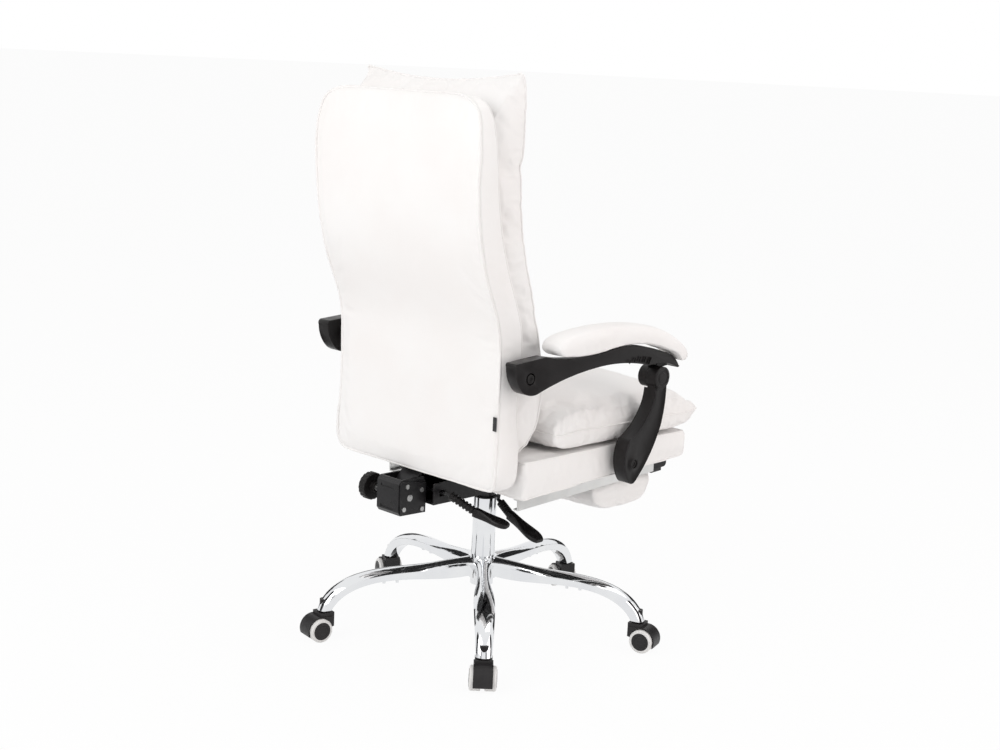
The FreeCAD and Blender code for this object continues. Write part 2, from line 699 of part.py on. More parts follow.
cheek_plate = new_body("cheek_plate")
cheek_outline = outline_sketch(cheek_plate, "cheek_outline", "YZ_Plane", [
    ("case_front + 1", "case_bottom - 1"), ("case_rear - 4", "case_bottom + 2"),
    ("case_rear - 2", "case_bottom + 30"), ("case_rear - 2", "case_top - 8"),
    ("case_rear - 8", "case_top - 2"), ("case_front + 1", "case_top - 13"),
])
pad(cheek_plate, cheek_outline, "cheek_thick")
pocket(cheek_plate, circle_sketch(cheek_plate, "cheek_holes", "YZ_Plane", [
    ("case_rear - 20", "case_top - 14", "screw_radius + run_gap"),
    ("case_front + 14", "case_top - 26", "screw_radius + run_gap"),
    ("case_rear - 12", "case_bottom + 14", "screw_radius + run_gap"),
    ("case_front + 12", "case_bottom + 8", "screw_radius + run_gap"),
    ("pivot_back", "pivot_level", "shaft_radius + run_gap"),
]))
cheek_plate.Placement = Placement(
    Vector(s.case_middle - s.case_half - s.cheek_thick, 0, 0), Rotation())

tilt_shaft = doc.addObject("Part::Cylinder", "tilt_shaft")
tilt_shaft.Label = "tilt_shaft"
tilt_shaft.setExpression("Radius", bind("shaft_radius"))
tilt_shaft.setExpression("Height", bind("knob_inner + knob_width - 6 - case_middle + case_half"
                                        " + cheek_thick + 1"))
tilt_shaft.Placement = Placement(
    Vector(s.case_middle - s.case_half - s.cheek_thick - 1, s.pivot_back, s.pivot_level),
    Rotation(Vector(0, 1, 0), 90))


def tilt_springs():
    """The coil round the tilt shaft, on each side of the back strap's eye."""
    gap = 2.0
    pitch = s.spring_wire + 0.8
    length = pitch * s.spring_turns
    parts = []
    for start in (s.case_middle - s.case_half + s.case_wall + gap,
                  s.case_middle + s.case_half - s.case_wall - gap - length):
        path = Part.makeHelix(pitch, length - s.spring_wire, s.spring_radius)
        ring = Part.Wire(Part.Circle(Vector(s.spring_radius, 0, 0), Vector(0, 1, 0),
                                     s.spring_wire / 2).toShape())
        coil = Part.Wire(path.Edges).makePipeShell([ring], True, True)
        coil.Placement = Placement(Vector(start + s.spring_wire / 2, s.pivot_back, s.pivot_level),
                                   Rotation(Vector(0, 1, 0), 90))
        parts.append(coil)
    return Part.makeCompound(parts)


tension_knob = new_body("tension_knob")
revolve(tension_knob, [
    ("shaft_radius + run_gap", "0 - 10"), ("knob_hub", "0 - 10"), ("knob_hub", "0"),
    ("knob_radius - 2", "0"), ("knob_radius", "2"), ("knob_radius", "knob_width - 3"),
    ("knob_radius - 4", "knob_width"), ("0", "knob_width"), ("0", "knob_width - 5"),
    ("shaft_radius + run_gap", "knob_width - 5"),
])
doc.recompute()
flute_sketch = circle_sketch(tension_knob, "flute_outline", "XY_Plane", [
    ("knob_radius + flute_radius * 0.35", "0", "flute_radius")])
flute_cut = pocket(tension_knob, flute_sketch)
flutes = tension_knob.newObject("PartDesign::PolarPattern", "flutes")
flutes.Originals = [flute_cut]
flutes.Axis = (flute_sketch, ["N_Axis"])
flutes.Angle = 360
flutes.setExpression("Occurrences", bind("knob_flutes"))
tension_knob.Tip = flutes
tension_knob.Placement = Placement(Vector(s.knob_inner, s.pivot_back, s.pivot_level),
                                   Rotation(Vector(0, 1, 0), 90))


# Backrest. Its rear line and its depth follow the height through the same named stations.

def back_stations():
    """Height, rear line, depth and the share of the full half width at each station."""
    shell_low = (s.rear_low, s.shell_depth_low)
    return (
        (s.back_bottom, s.rear_low - 6, s.shell_depth_low - 6, -16),
        (s.back_bottom + 14, *shell_low, -3),
        (blend(s.back_bottom, s.back_waist, 0.5), *shell_low, 0),
        (s.back_waist, *shell_low, 0),
        (s.back_bend, s.rear_bend, blend(s.shell_depth_low, s.shell_depth_hollow, 0.8), 0),
        (s.back_hollow, s.rear_hollow, s.shell_depth_hollow, 0),
        (s.back_shoulder, s.rear_high, s.shell_depth_shoulder, 0),
        (s.back_top - 80, s.rear_high + 2, blend(s.shell_depth_shoulder, s.shell_depth_top, 0.7), 0),
        (s.back_top - 42, s.rear_high - 1, s.shell_depth_top, -8),
        (s.back_top - 20, s.rear_high - 3, s.shell_depth_top - 4, -22),
        (s.back_top - 6, s.rear_high - 8, s.shell_depth_top - 13, -46),
        (s.back_top, s.rear_high - 15, s.shell_depth_top - 26, -78),
    )


def shell_front(z):
    """The shell's front line at a height, straight between stations."""
    rows = [(level, rear - depth) for level, rear, depth, draw in back_stations()]
    for (z0, y0), (z1, y1) in zip(rows, rows[1:]):
        if z <= z1:
            return blend(y0, y1, max(0.0, (z - z0) / (z1 - z0)))
    return rows[-1][1]


def back_board_stations():
    levels = [s.board_back_low] + [row[0] for row in back_stations()[2:8]
                                   if s.board_back_low < row[0] < s.board_back_high]
    return levels + [s.board_back_high]


def board_slab(half, front_shift, rear_shift, low_shift, high_shift):
    """A board that follows the shell's front line, as flat runs between the stations."""
    front = []
    rear = []
    for z in back_board_stations():
        level = z
        if z == s.board_back_low:
            level = z - low_shift
        if z == s.board_back_high:
            level = z + high_shift
        front.append((shell_front(z) + front_shift, level))
        rear.append((shell_front(z) + rear_shift, level))
    return polygon_plate(front + rear[::-1], -half, half)


def back_board():
    board = board_slab(s.board_back_half, s.board_back_recess,
                       s.board_back_recess + s.board_thick, 0, 0)
    for x, z in strap_bolt_places():
        board = board.cut(rod(Vector(x, 100, z), Vector(x, 300, z), s.bolt_radius + s.face_gap))
    return board


def strap_bolt_places():
    return [(s.case_middle + side * s.strap_hole_half, z) for side in (-1, 1)
            for z in (s.strap_hole_low, s.strap_hole_high)]


def strap_front():
    return s.rear_low - s.shell_depth_low + s.board_back_recess + s.board_thick + s.face_gap


def strap_outline(grow):
    """The strap's run from the pivot up behind the board, with room round it if it grows."""
    front = strap_front() - grow
    rear = strap_front() + s.strap_thick + grow
    foot_front = s.pivot_back - 8 - grow
    foot_rear = s.pivot_back - 1 + grow
    bend = s.strap_bend_level
    return [(foot_front, s.pivot_level + 4), (foot_rear, s.pivot_level + 6), (rear, bend),
            (rear, s.strap_top + grow), (front, s.strap_top + grow), (front, bend - 3)]


def back_strap():
    x0, x1 = s.case_middle - s.strap_half, s.case_middle + s.strap_half
    strap = polygon_plate(strap_outline(0), x0, x1)
    eye_half = 8
    eye = rod(Vector(s.case_middle - eye_half, s.pivot_back, s.pivot_level),
              Vector(s.case_middle + eye_half, s.pivot_back, s.pivot_level), s.strap_eye)
    room = rod(Vector(x0 - 1, s.pivot_back, s.pivot_level),
               Vector(x1 + 1, s.pivot_back, s.pivot_level),
               s.spring_radius + s.spring_wire / 2 + 1)
    room = room.cut(rod(Vector(s.case_middle - eye_half, s.pivot_back, s.pivot_level),
                        Vector(s.case_middle + eye_half, s.pivot_back, s.pivot_level), 40))
    strap = strap.cut(room).fuse(eye)
    strap = strap.cut(rod(Vector(x0 - 1, s.pivot_back, s.pivot_level),
                          Vector(x1 + 1, s.pivot_back, s.pivot_level),
                          s.shaft_radius + s.run_gap))
    for x, z in strap_bolt_places():
        strap = strap.cut(rod(Vector(x, 100, z), Vector(x, 300, z), s.bolt_radius + s.face_gap))
    return strap


feature("back_strap", back_strap())


def back_bolts():
    """Bolts through strap and board, and the bolts that carry the arms at the shell's sides."""
    parts = []
    rear = strap_front() + s.strap_thick
    for x, z in strap_bolt_places():
        head = rod(Vector(x, rear + s.run_gap, z),
                   Vector(x, rear + s.run_gap + s.bolt_head_height, z), s.bolt_head)
        shank = rod(Vector(x, rear + s.run_gap, z),
                    Vector(x, rear - s.strap_thick - s.board_thick, z), s.bolt_radius)
        parts.append(head.fuse(shank))
    for side in (-1, 1):
        start = Vector(side * (s.arm_outer - s.arm_bolt_sink), s.arm_bolt_back, s.arm_bolt_level)
        neck = Vector(side * (s.arm_outer - s.arm_bolt_sink - 4), s.arm_bolt_back,
                      s.arm_bolt_level)
        end = Vector(side * (s.shell_half - s.bolt_reach), s.arm_bolt_back, s.arm_bolt_level)
        parts.append(rod(start, neck, s.arm_bolt_head).fuse(rod(neck, end, s.arm_bolt_radius)))
    return Part.makeCompound(parts)


feature("back_board", back_board())
feature("back_bolts", back_bolts())


def shell_block():
    """The shell's outer form: drawn-in sides, a slightly crowned rear and rounded ends."""
    rings = []
    for z, rear, depth, draw in back_stations():

        def at(across, back, z=z):
            return Vector(across, back, z)

        rings.append(cushion_ring(at, s.shell_half + draw, rear - depth, rear - 0.5,
                                  s.shell_belly, s.shell_crown))
    return Part.makeLoft(rings, True, False)


def back_shell():
    """The padded outer shell, pocketed at the front for the board and the strap."""
    shell = shell_block()
    gap = s.face_gap
    pocket_shape = board_slab(s.board_back_half + gap, -60, s.board_back_recess + s.board_thick
                              + gap, gap, gap)
    shell = shell.cut(pocket_shape)
    strap_room = polygon_plate(strap_outline(1.0), s.case_middle - s.strap_half - 1,
                               s.case_middle + s.strap_half + 1)
    shell = shell.cut(strap_room)
    for x, z in strap_bolt_places():
        shell = shell.cut(rod(Vector(x, strap_front(), z),
                              Vector(x, strap_front() + s.strap_thick + s.bolt_head_height + 1, z),
                              s.bolt_head + 1))
    for side in (-1, 1):
        shell = shell.cut(rod(
            Vector(side * (s.shell_half + 40), s.arm_bolt_back, s.arm_bolt_level),
            Vector(side * (s.shell_half - s.bolt_reach - 1), s.arm_bolt_back, s.arm_bolt_level),
            s.arm_bolt_radius + s.run_gap))
    return shell


feature("back_shell", back_shell())


def overlay_ring(z, seam, rear, front, half, belly):
    """The overlay's section: a flat back against the shell, ears at the seam, a crowned front."""
    ear = half + belly

    def at(across, back):
        return Vector(across, back, z)

    return wire_of([
        [at(-half, rear), at(half, rear)],
        [at(half, rear), at(ear - 3, blend(rear, seam, 0.5)), at(ear, seam)],
        [at(ear, seam), at(0, front), at(-ear, seam)],
        [at(-ear, seam), at(-ear + 3, blend(rear, seam, 0.5)), at(-half, rear)],
    ])


def back_overlay():
    """The soft overlay on the shell's front, from the seat up to the head pillow's thin ear."""
    rest = [(z, rear - depth + s.rest_sink) for z, rear, depth, draw in back_stations()]
    bulge = s.overlay_bulge
    half, belly = s.overlay_half, s.overlay_belly
    rings = [
        overlay_ring(s.overlay_bottom, blend(s.seam_low, rest[1][1], 0.5), rest[1][1] - 6,
                     s.seam_low + 8, half - 12, belly - 4),
        overlay_ring(s.overlay_bottom + 50, s.seam_low + 4, rest[1][1], s.seam_low - bulge * 0.25,
                     half - 2, belly),
        overlay_ring(rest[3][0], s.seam_low, rest[3][1], s.seam_low - bulge, half, belly),
        overlay_ring(rest[4][0], blend(s.seam_low, s.seam_hollow, 0.35), rest[4][1],
                     s.seam_low - bulge * 0.7, half, belly),
        overlay_ring(rest[5][0], s.seam_hollow - 6, rest[5][1], s.seam_hollow - bulge, half - 3,
                     belly),
        overlay_ring(rest[6][0], s.seam_high - 3, rest[6][1], s.seam_high - bulge, half - 4,
                     belly),
        overlay_ring(rest[7][0], s.seam_high, rest[7][1], s.seam_high - bulge, half, belly),
        overlay_ring(s.back_top - 10, s.seam_high + 1, s.seam_high + 52, s.seam_high - bulge * 0.6,
                     half, belly),
        overlay_ring(s.overlay_top - 12, s.seam_high + 6, s.seam_high + 20,
                     s.seam_high - bulge * 0.1, half + 3, belly - 4),
        overlay_ring(s.overlay_top, s.seam_high + 12, s.seam_high + 15, s.seam_high + 7, half + 4,
                     belly - 4),
    ]
    overlay = Part.makeLoft(rings, True, False)
    form = shell_block()
    form.translate(Vector(0, -s.soft_gap, 0))
    rear_side = board_slab(s.shell_half + 60, -s.soft_gap, 3 * s.board_thick, 60, 0)
    reach, sag = s.overlay_half + s.overlay_belly, s.overlay_sag
    bow = (reach * reach + sag * sag) / (2 * sag)
    above = Vector(0, -200, s.overlay_top - sag + bow)
    dip = rod(above, above + Vector(0, 700, 0), bow)
    overlay = overlay.cut(form).cut(rear_side).cut(dip)
    return max(overlay.Solids, key=lambda solid: solid.Volume)


feature("back_overlay", back_overlay())

back_tab = doc.addObject("Part::Box", "back_tab")
back_tab.Label = "back_tab"
back_tab.setExpression("Length", bind("tab_width"))
back_tab.setExpression("Width", bind("tab_thick"))
back_tab.setExpression("Height", bind("tab_height"))
back_tab.Placement = Placement(
    Vector(-s.shell_half, s.rear_low + 0.2, s.tab_level - s.tab_height / 2),
    Rotation())


# Armrests, built for the sitter's right and mirrored for the left

def arm_outline(rise):
    """The arm's side outline as lines and arcs, (y, z) points, moved up by rise."""
    back, level = s.arm_bolt_back, s.arm_bolt_level
    front, knuckle = -s.knuckle_front, s.knuckle_level
    return [[(y, z + rise) for y, z in points] for points in (
        [(back + 46, level + 24), (back + 46, level + 32), (back + 38, level + 36)],
        [(back + 38, level + 36), (back - 40, level + 42)],
        [(back - 40, level + 42), (back - 130, level + 30), (back - 205, level + 33)],
        [(back - 205, level + 33), (front + 70, knuckle + 76), (front - 6, knuckle + 57)],
        [(front - 6, knuckle + 57), (front - 46, knuckle + 39), (front - 63, knuckle + 18)],
        [(front - 63, knuckle + 18), (front - 58, knuckle + 14), (front - 48, knuckle + 17)],
        [(front - 48, knuckle + 17), (front - 10, knuckle + 27), (front + 40, knuckle + 27)],
        [(front + 40, knuckle + 27), (front + 125, knuckle + 40), (front + 215, knuckle + 38)],
        [(front + 215, knuckle + 38), (back - 75, level - 19), (back - 30, level - 32)],
        [(back - 30, level - 32), (back - 4, level - 36), (back + 20, level - 28)],
        [(back + 20, level - 28), (back + 38, level - 6), (back + 46, level + 24)],
    )]


def arm_frame():
    outer, inner = -s.arm_outer, -s.arm_outer + s.arm_thick
    frame = side_plate(arm_outline(0), outer, inner)
    back, level = s.arm_bolt_back, s.arm_bolt_level
    boss = rod(Vector(inner - 1, back, level),
               Vector(-s.shell_half - s.shell_belly - s.face_gap, back, level), s.boss_radius)
    front, knuckle = -s.knuckle_front, s.knuckle_level
    split, inside = -s.knuckle_split + s.face_gap, -s.knuckle_inner
    barrel = rod(Vector(split, front, knuckle), Vector(inside, front, knuckle), s.knuckle_radius)
    lug = block(split, inner, front - 14, front + 16, knuckle, knuckle + 36)
    lug = lug.common(side_plate(arm_outline(-6), split, inner).fuse(
        block(split, inner, front - 14, front + 16, knuckle, knuckle + 28)))
    pin = rod(Vector(-s.arm_outer + s.knuckle_cover + 1, front, knuckle),
              Vector(split + 1, front, knuckle), s.knuckle_pin)
    frame = frame.fuse(boss).fuse(barrel).fuse(lug)
    sweep_room = rod(Vector(-s.arm_outer - 10, front, knuckle), Vector(split, front, knuckle),
                     s.knuckle_radius + 7.5)
    frame = frame.cut(sweep_room).fuse(pin)
    bolt_hole = rod(Vector(outer - 1, back, level), Vector(-s.shell_half, back, level),
                    s.arm_bolt_radius + s.run_gap)
    sink = rod(Vector(outer - 1, back, level),
               Vector(outer + s.arm_bolt_sink + 4 + s.run_gap, back, level),
               s.arm_bolt_head + s.face_gap)
    return frame.cut(bolt_hole).cut(sink)


def arm_pad():
    """The crowned armrest pad, cut to sit on the arm's top."""
    back, level = s.arm_bolt_back, s.arm_bolt_level
    middle = -s.pad_middle
    stations = (
        (back - 65, level + 48, level + 60, -8), (back - 74, level + 38, level + 69, -2),
        (back - 105, level + 28, level + 79, 0), (back - 170, level + 28, level + 85, 0),
        (back - 250, level + 28, level + 86, 0), (back - 330, level + 26, level + 78, 0),
        (back - 395, level + 2, level + 62, 0), (back - 442, level - 8, level + 40, -2),
        (back - 468, level - 8, level + 22, -6), (back - 477, level - 2, level + 12, -12),
    )
    rings = []
    for y, low, high, draw in stations:

        def at(across, up, y=y):
            return Vector(middle + across, y, up)

        rings.append(cushion_ring(at, s.pad_half + draw, low, high - 5, s.pad_belly, 5))
    pad_shape = Part.makeLoft(rings, True, False)
    under = side_plate(arm_outline(s.soft_gap), middle - 60, middle + 60)
    under = under.fuse(side_plate(arm_outline(s.soft_gap - 25), middle - 60, middle + 60))
    solids = pad_shape.cut(under).Solids
    return max(solids, key=lambda solid: solid.Volume)


def arm_link():
    """The curved link from the seat's side up to the arm's knuckle."""
    foot, level = -s.link_bolt_front, s.link_bolt_level
    front, knuckle = -s.knuckle_front, s.knuckle_level
    outer, inner = -s.arm_outer, -s.arm_outer + s.arm_thick
    split = -s.knuckle_split - s.face_gap
    blade = side_plate([
        [(front - 17, knuckle - 4), (front - 17, knuckle - 50), (front - 8, knuckle - 100)],
        [(front - 8, knuckle - 100), (front + 22, knuckle - 160), (foot - 6, level - 38)],
        [(foot - 6, level - 38), (foot + 4, level - 42), (foot + 14, level - 37)],
        [(foot + 14, level - 37), (foot + 31, level + 4), (foot + 20, level + 52)],
        [(foot + 20, level + 52), (foot - 20, level + 80), (front + 22, knuckle - 50)],
        [(front + 22, knuckle - 50), (front + 17, knuckle - 25), (front + 17, knuckle - 4)],
        [(front + 17, knuckle - 4), (front - 17, knuckle - 4)],
    ], outer, inner)
    room = rod(Vector(split, front, knuckle), Vector(inner + 1, front, knuckle),
               s.knuckle_radius + 8)
    barrel = rod(Vector(outer - 2, front, knuckle), Vector(split, front, knuckle),
                 s.knuckle_radius)
    link = blade.cut(room).fuse(barrel)
    link = link.cut(rod(Vector(outer + s.knuckle_cover, front, knuckle),
                        Vector(split + 1, front, knuckle), s.knuckle_bore))
    boss = rod(Vector(inner - 1, foot, level),
               Vector(-s.seat_half - s.seat_belly - s.face_gap, foot, level), s.boss_radius)
    link = link.fuse(boss)
    hole = rod(Vector(outer - 1, foot, level), Vector(-s.seat_half, foot, level),
               s.arm_bolt_radius + s.run_gap)
    sink = rod(Vector(outer - 1, foot, level),
               Vector(outer + s.arm_bolt_sink + 4 + s.run_gap, foot, level),
               s.arm_bolt_head + s.face_gap)
    return link.cut(hole).cut(sink)


for label, shape in (("arm_frame", arm_frame()), ("arm_pad", arm_pad()), ("arm_link", arm_link())):
    feature(label + "_right", shape)
    feature(label + "_left", mirrored(shape))


# Levers, each a steel rod with a ribbed grip that ends in a flat paddle

def ribbed_grip(points, ribs):
    """A grip along straight runs: round and ribbed first, then a flared flat paddle."""
    start, neck, end = points
    along = neck - start
    grip = rod(start, neck + along * 0.03, s.grip_radius)
    for k in range(ribs):
        centre = start + along * ((k + 0.5) / ribs)
        half = along * (0.28 / ribs)
        grip = grip.fuse(rod(centre - half, centre + half, s.grip_rib))
    run = end - neck
    forward = Vector(run.x, run.y, run.z).normalize()
    side = forward.cross(Vector(0, 0, 1)).normalize()
    up = side.cross(forward)
    rings = []
    for share, half, thick in ((-0.08, 8.5, 8.5), (0.25, 9.5, 7.5), (0.62, s.paddle_half, 5.5),
                               (0.88, s.paddle_half - 1, 5.0), (1.0, s.paddle_half - 7, 3.5)):
        centre = neck + run * share

        def at(across, rise, centre=centre):
            return centre + side * across + up * rise

        rings.append(cushion_ring(at, half * 0.86, -thick, thick, half * 0.14, thick * 0.12,
                                  thick * 0.12))
    return grip.fuse(Part.makeLoft(rings, True, False))


def valve_lever_points():
    level = s.valve_lever_level
    return (Vector(-s.channel_right - 11, 0, level - 65), Vector(-82, 0, level - 89),
            Vector(-166, 0, level - 122))


def recline_lever_points():
    back, level = s.recline_lever_back, s.recline_lever_level
    return (Vector(-s.channel_right - 18, back - 5, level - 2), Vector(-103, back - 35, level - 33),
            Vector(-168, back - 61, level - 51))


def grip_core(points):
    """The straight length of rod that the grip is pushed over."""
    start, neck, end = points
    run = neck - start
    return start - run * (s.grip_lead / run.Length), start + run * 0.8


def lever_rod(back, level, inner, points, bends):
    """The flat tongue over the mechanism, its pivot pin and the round rod into the grip."""
    half, thick = s.tongue_half, s.tongue_thick
    right = -s.channel_right
    tongue = block(right - 8, inner, back - half, back + half, level - thick / 2,
                   level + thick / 2)
    pin = rod(Vector(right + s.channel_wall / 2, back - half - 4, level),
              Vector(right + s.channel_wall / 2, back + half + 4, level), 1.4 - s.run_gap)
    shape = tongue.fuse(pin)
    stops = [Vector(right - 6, back, level)] + bends + list(grip_core(points))
    for first, second in zip(stops, stops[1:]):
        shape = shape.fuse(rod(first, second, s.lever_rod))
    for bend in stops[1:-1]:
        shape = shape.fuse(Part.makeSphere(s.lever_rod, bend))
    return shape


def lever_grip(points, ribs):
    lead, reach = grip_core(points)
    spare = (reach - lead).normalize() * s.face_gap
    return ribbed_grip(points, ribs).cut(rod(lead, reach + spare, s.grip_bore))


valve_points = valve_lever_points()
recline_points = recline_lever_points()
valve_level = s.valve_lever_level
feature("height_lever_rod", lever_rod(0, valve_level, 5, valve_points, [Vector(-s.channel_right - 12, 0, valve_level - 14)]))
feature("height_lever_grip", lever_grip(valve_points, 8))
feature("recline_lever_rod", lever_rod(s.recline_lever_back, s.recline_lever_level, 12,
                                       recline_points, []))
feature("recline_lever_grip", lever_grip(recline_points, 8))


# Footrest, in the deck's own frame

def footrest_rails():
    rails = []
    for side in (-1, 1):
        x0, x1 = s.rail_reach, s.rail_reach + s.rail_width
        rail = block(x0, x1, s.rail_front, s.rail_front + s.rail_length, -s.rail_height, 0)
        middle = -s.flip_drop
        room = s.runner_height / 2 + s.slide_gap
        rail = rail.cut(block(x0 - 1, x1 - s.rail_wall, s.rail_front - 1,
                              s.rail_front + s.rail_length + 1, middle - room, middle + room))
        if side < 0:
            rail = mirrored(rail)
        rails.append(rail)
    return Part.makeCompound(rails)


def footrest_frame():
    outer = s.rail_reach + s.rail_width - s.rail_wall - s.slide_gap
    inner = outer - s.runner_thick
    nose = s.runner_height / 2
    parts = None
    for side in (-1, 1):
        runner = block(inner, outer, s.flip_front, s.flip_front + s.runner_length,
                       -s.flip_drop - nose, -s.flip_drop + nose)
        runner = runner.fuse(rod(Vector(inner, s.flip_front, -s.flip_drop),
                                 Vector(outer, s.flip_front, -s.flip_drop), nose))
        pin = rod(Vector(inner - s.lug_thick - 3, s.flip_front, -s.flip_drop),
                  Vector(inner + 1, s.flip_front, -s.flip_drop), s.flip_pin)
        runner = runner.fuse(pin)
        if side < 0:
            runner = mirrored(runner)
        parts = runner if parts is None else parts.fuse(runner)
    cross = rod(Vector(-inner - 1, s.cross_back, -s.flip_drop),
                Vector(inner + 1, s.cross_back, -s.flip_drop), s.cross_radius)
    return parts.fuse(cross)


def footrest_board():
    """The plywood board with a steel lug at each end that turns on the frame's pin."""
    half = s.rest_half
    top, bottom = -s.rest_drop, -s.rest_drop - s.rest_board
    board = block(-half, half, s.rest_front, s.rest_front + s.rest_length, bottom, top)
    outer = s.rail_reach + s.rail_width - s.rail_wall - s.slide_gap
    lug_outer = outer - s.runner_thick - 0.6
    for side in (-1, 1):
        lug_inner = lug_outer - s.lug_thick
        lug = rod(Vector(lug_inner, s.flip_front, -s.flip_drop),
                  Vector(lug_outer, s.flip_front, -s.flip_drop), s.lug_half)
        lug = lug.fuse(block(lug_inner, lug_outer, s.flip_front, s.rest_front + s.lug_reach,
                             bottom + 1, -s.flip_drop + 2))
        lug = lug.fuse(block(half - 4, lug_outer, s.rest_front, s.rest_front + s.lug_reach,
                             bottom + 1, top))
        lug = lug.cut(rod(Vector(lug_inner - 1, s.flip_front, -s.flip_drop),
                          Vector(lug_outer + 1, s.flip_front, -s.flip_drop),
                          s.flip_pin + s.run_gap))
        if side < 0:
            lug = mirrored(lug)
        board = board.fuse(lug)
    return board


def footrest_pad():
    """The calf pad under the stowed board: rounded ends, crowned face, drawn-in sides."""
    top = -s.rest_drop - s.rest_board - s.soft_gap
    front, length, foam = s.rest_front, s.rest_length, s.rest_foam
    stations = (
        (0.0, -10, 0.45), (0.05, -3, 0.74), (0.16, 0, 0.93), (0.4, -2, 1.0), (0.65, -2, 0.96),
        (0.86, 0, 0.82), (0.96, -3, 0.6), (1.0, -10, 0.35),
    )
    rings = []
    for share, draw, depth in stations:
        y = front + length * share

        def at(across, down, y=y):
            return Vector(across, y, top - down)

        crown = 8.0 * depth
        rings.append(cushion_ring(at, s.rest_half - s.rest_belly + draw, 0, foam * depth - crown,
                                  s.rest_belly, crown))
    return Part.makeLoft(rings, True, False)


on_deck("footrest_rails", footrest_rails())
on_deck("footrest_frame", footrest_frame())
on_deck("footrest_board", footrest_board())
on_deck("footrest_pad", footrest_pad())


def seat_bolts():
    """The mount bolts, the cheek screws and the bolts that carry the links."""
    parts = []
    for x, y in plate_holes():
        head = rod(Vector(x, y, -s.plate_thick - s.run_gap - s.bolt_head_height),
                   Vector(x, y, -s.plate_thick - s.run_gap), s.bolt_head)
        shank = rod(Vector(x, y, -s.plate_thick - s.run_gap),
                    Vector(x, y, s.board_thick - 2), s.bolt_radius)
        bolt = head.fuse(shank)
        bolt.Placement = deck_place()
        parts.append(bolt)
    for x, y, z in cheek_screw_places():
        face = x - s.cheek_thick - s.run_gap
        head = rod(Vector(face - s.screw_head_height, y, z), Vector(face, y, z), s.screw_head)
        shank = rod(Vector(face, y, z), Vector(x + s.case_wall, y, z), s.screw_radius)
        parts.append(head.fuse(shank))
    for side in (-1, 1):
        foot, level = -s.link_bolt_front, s.link_bolt_level
        start = Vector(side * (s.arm_outer - s.arm_bolt_sink), foot, level)
        neck = Vector(side * (s.arm_outer - s.arm_bolt_sink - 4), foot, level)
        end = Vector(side * (s.seat_half - s.bolt_reach), foot, level)
        parts.append(rod(start, neck, s.arm_bolt_head).fuse(rod(neck, end, s.arm_bolt_radius)))
    return Part.makeCompound(parts)


feature("seat_bolts", seat_bolts())
feature("tilt_springs", tilt_springs())

doc.recompute()

NODES = [piece for piece in doc.Objects
         if piece.TypeId in ("PartDesign::Body", "Part::Feature", "Part::Cylinder", "Part::Box")]
failed = [piece.Name for piece in doc.Objects if "Invalid" in piece.State or "Error" in piece.State]
if failed:
    raise RuntimeError("these objects did not build: " + ", ".join(failed))
for piece in NODES:
    if piece.Shape.isNull() or not piece.Shape.isValid():
        raise RuntimeError("the shape of %s is not sound" % piece.Label)
    piece.Shape.exportStep("parts/%s.step" % piece.Label)
    bounds = piece.Shape.BoundBox
    print("%-26s solids %2d  x %7.1f %7.1f  y %7.1f %7.1f  z %7.1f %7.1f" % (
        piece.Label, len(piece.Shape.Solids), bounds.XMin, bounds.XMax, bounds.YMin, bounds.YMax,
        bounds.ZMin, bounds.ZMax))
print(len(NODES), "nodes")
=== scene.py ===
"""Looks of a reclining office chair: white upholstery, chrome, plastic and a pale studio."""
import json
import logging
import math
from collections.abc import Iterator
from contextlib import contextmanager
from dataclasses import dataclass
from enum import Enum

import bpy
from mathutils import Matrix, Quaternion, Vector
from mathutils.bvhtree import BVHTree
from mathutils.kdtree import KDTree
from mathutils.noise import noise

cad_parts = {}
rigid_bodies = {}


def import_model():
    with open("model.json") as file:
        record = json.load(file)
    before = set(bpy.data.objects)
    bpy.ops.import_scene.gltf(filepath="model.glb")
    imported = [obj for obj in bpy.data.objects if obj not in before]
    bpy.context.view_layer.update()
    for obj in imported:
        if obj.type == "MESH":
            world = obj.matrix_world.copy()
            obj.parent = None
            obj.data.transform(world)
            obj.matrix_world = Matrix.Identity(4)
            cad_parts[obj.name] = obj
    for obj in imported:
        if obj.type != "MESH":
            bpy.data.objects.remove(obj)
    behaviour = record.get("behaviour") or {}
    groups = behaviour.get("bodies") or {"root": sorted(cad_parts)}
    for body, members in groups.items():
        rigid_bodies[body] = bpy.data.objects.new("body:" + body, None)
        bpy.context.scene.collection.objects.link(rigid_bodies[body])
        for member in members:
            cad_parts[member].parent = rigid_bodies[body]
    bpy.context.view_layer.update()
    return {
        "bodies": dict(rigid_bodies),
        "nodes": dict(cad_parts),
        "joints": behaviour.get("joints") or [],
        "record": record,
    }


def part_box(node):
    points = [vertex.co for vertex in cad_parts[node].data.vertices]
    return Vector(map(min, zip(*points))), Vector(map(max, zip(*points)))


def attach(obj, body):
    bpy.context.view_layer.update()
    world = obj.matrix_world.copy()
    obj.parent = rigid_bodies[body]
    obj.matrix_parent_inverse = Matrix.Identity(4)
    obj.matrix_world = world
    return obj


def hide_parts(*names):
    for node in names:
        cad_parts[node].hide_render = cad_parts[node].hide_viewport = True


LOG = logging.getLogger("chair")
MM = 0.001
SCUFF = 0.012
GLOW_SHARE = 0.94
ROOM_STRENGTH = 0.56
LAMP_AIM = (0.0, 0.0, 0.6)
CLOTH_FRAMES = 20
PUCKER_REACH = 0.06
OUTER_FACE = 0.9

CLOTH: dict[str, float | bool] = {
    "quality": 4, "mass": 0.3, "tension_stiffness": 18, "compression_stiffness": 12,
    "shear_stiffness": 8, "bending_stiffness": 1.2, "use_pressure": True,
}

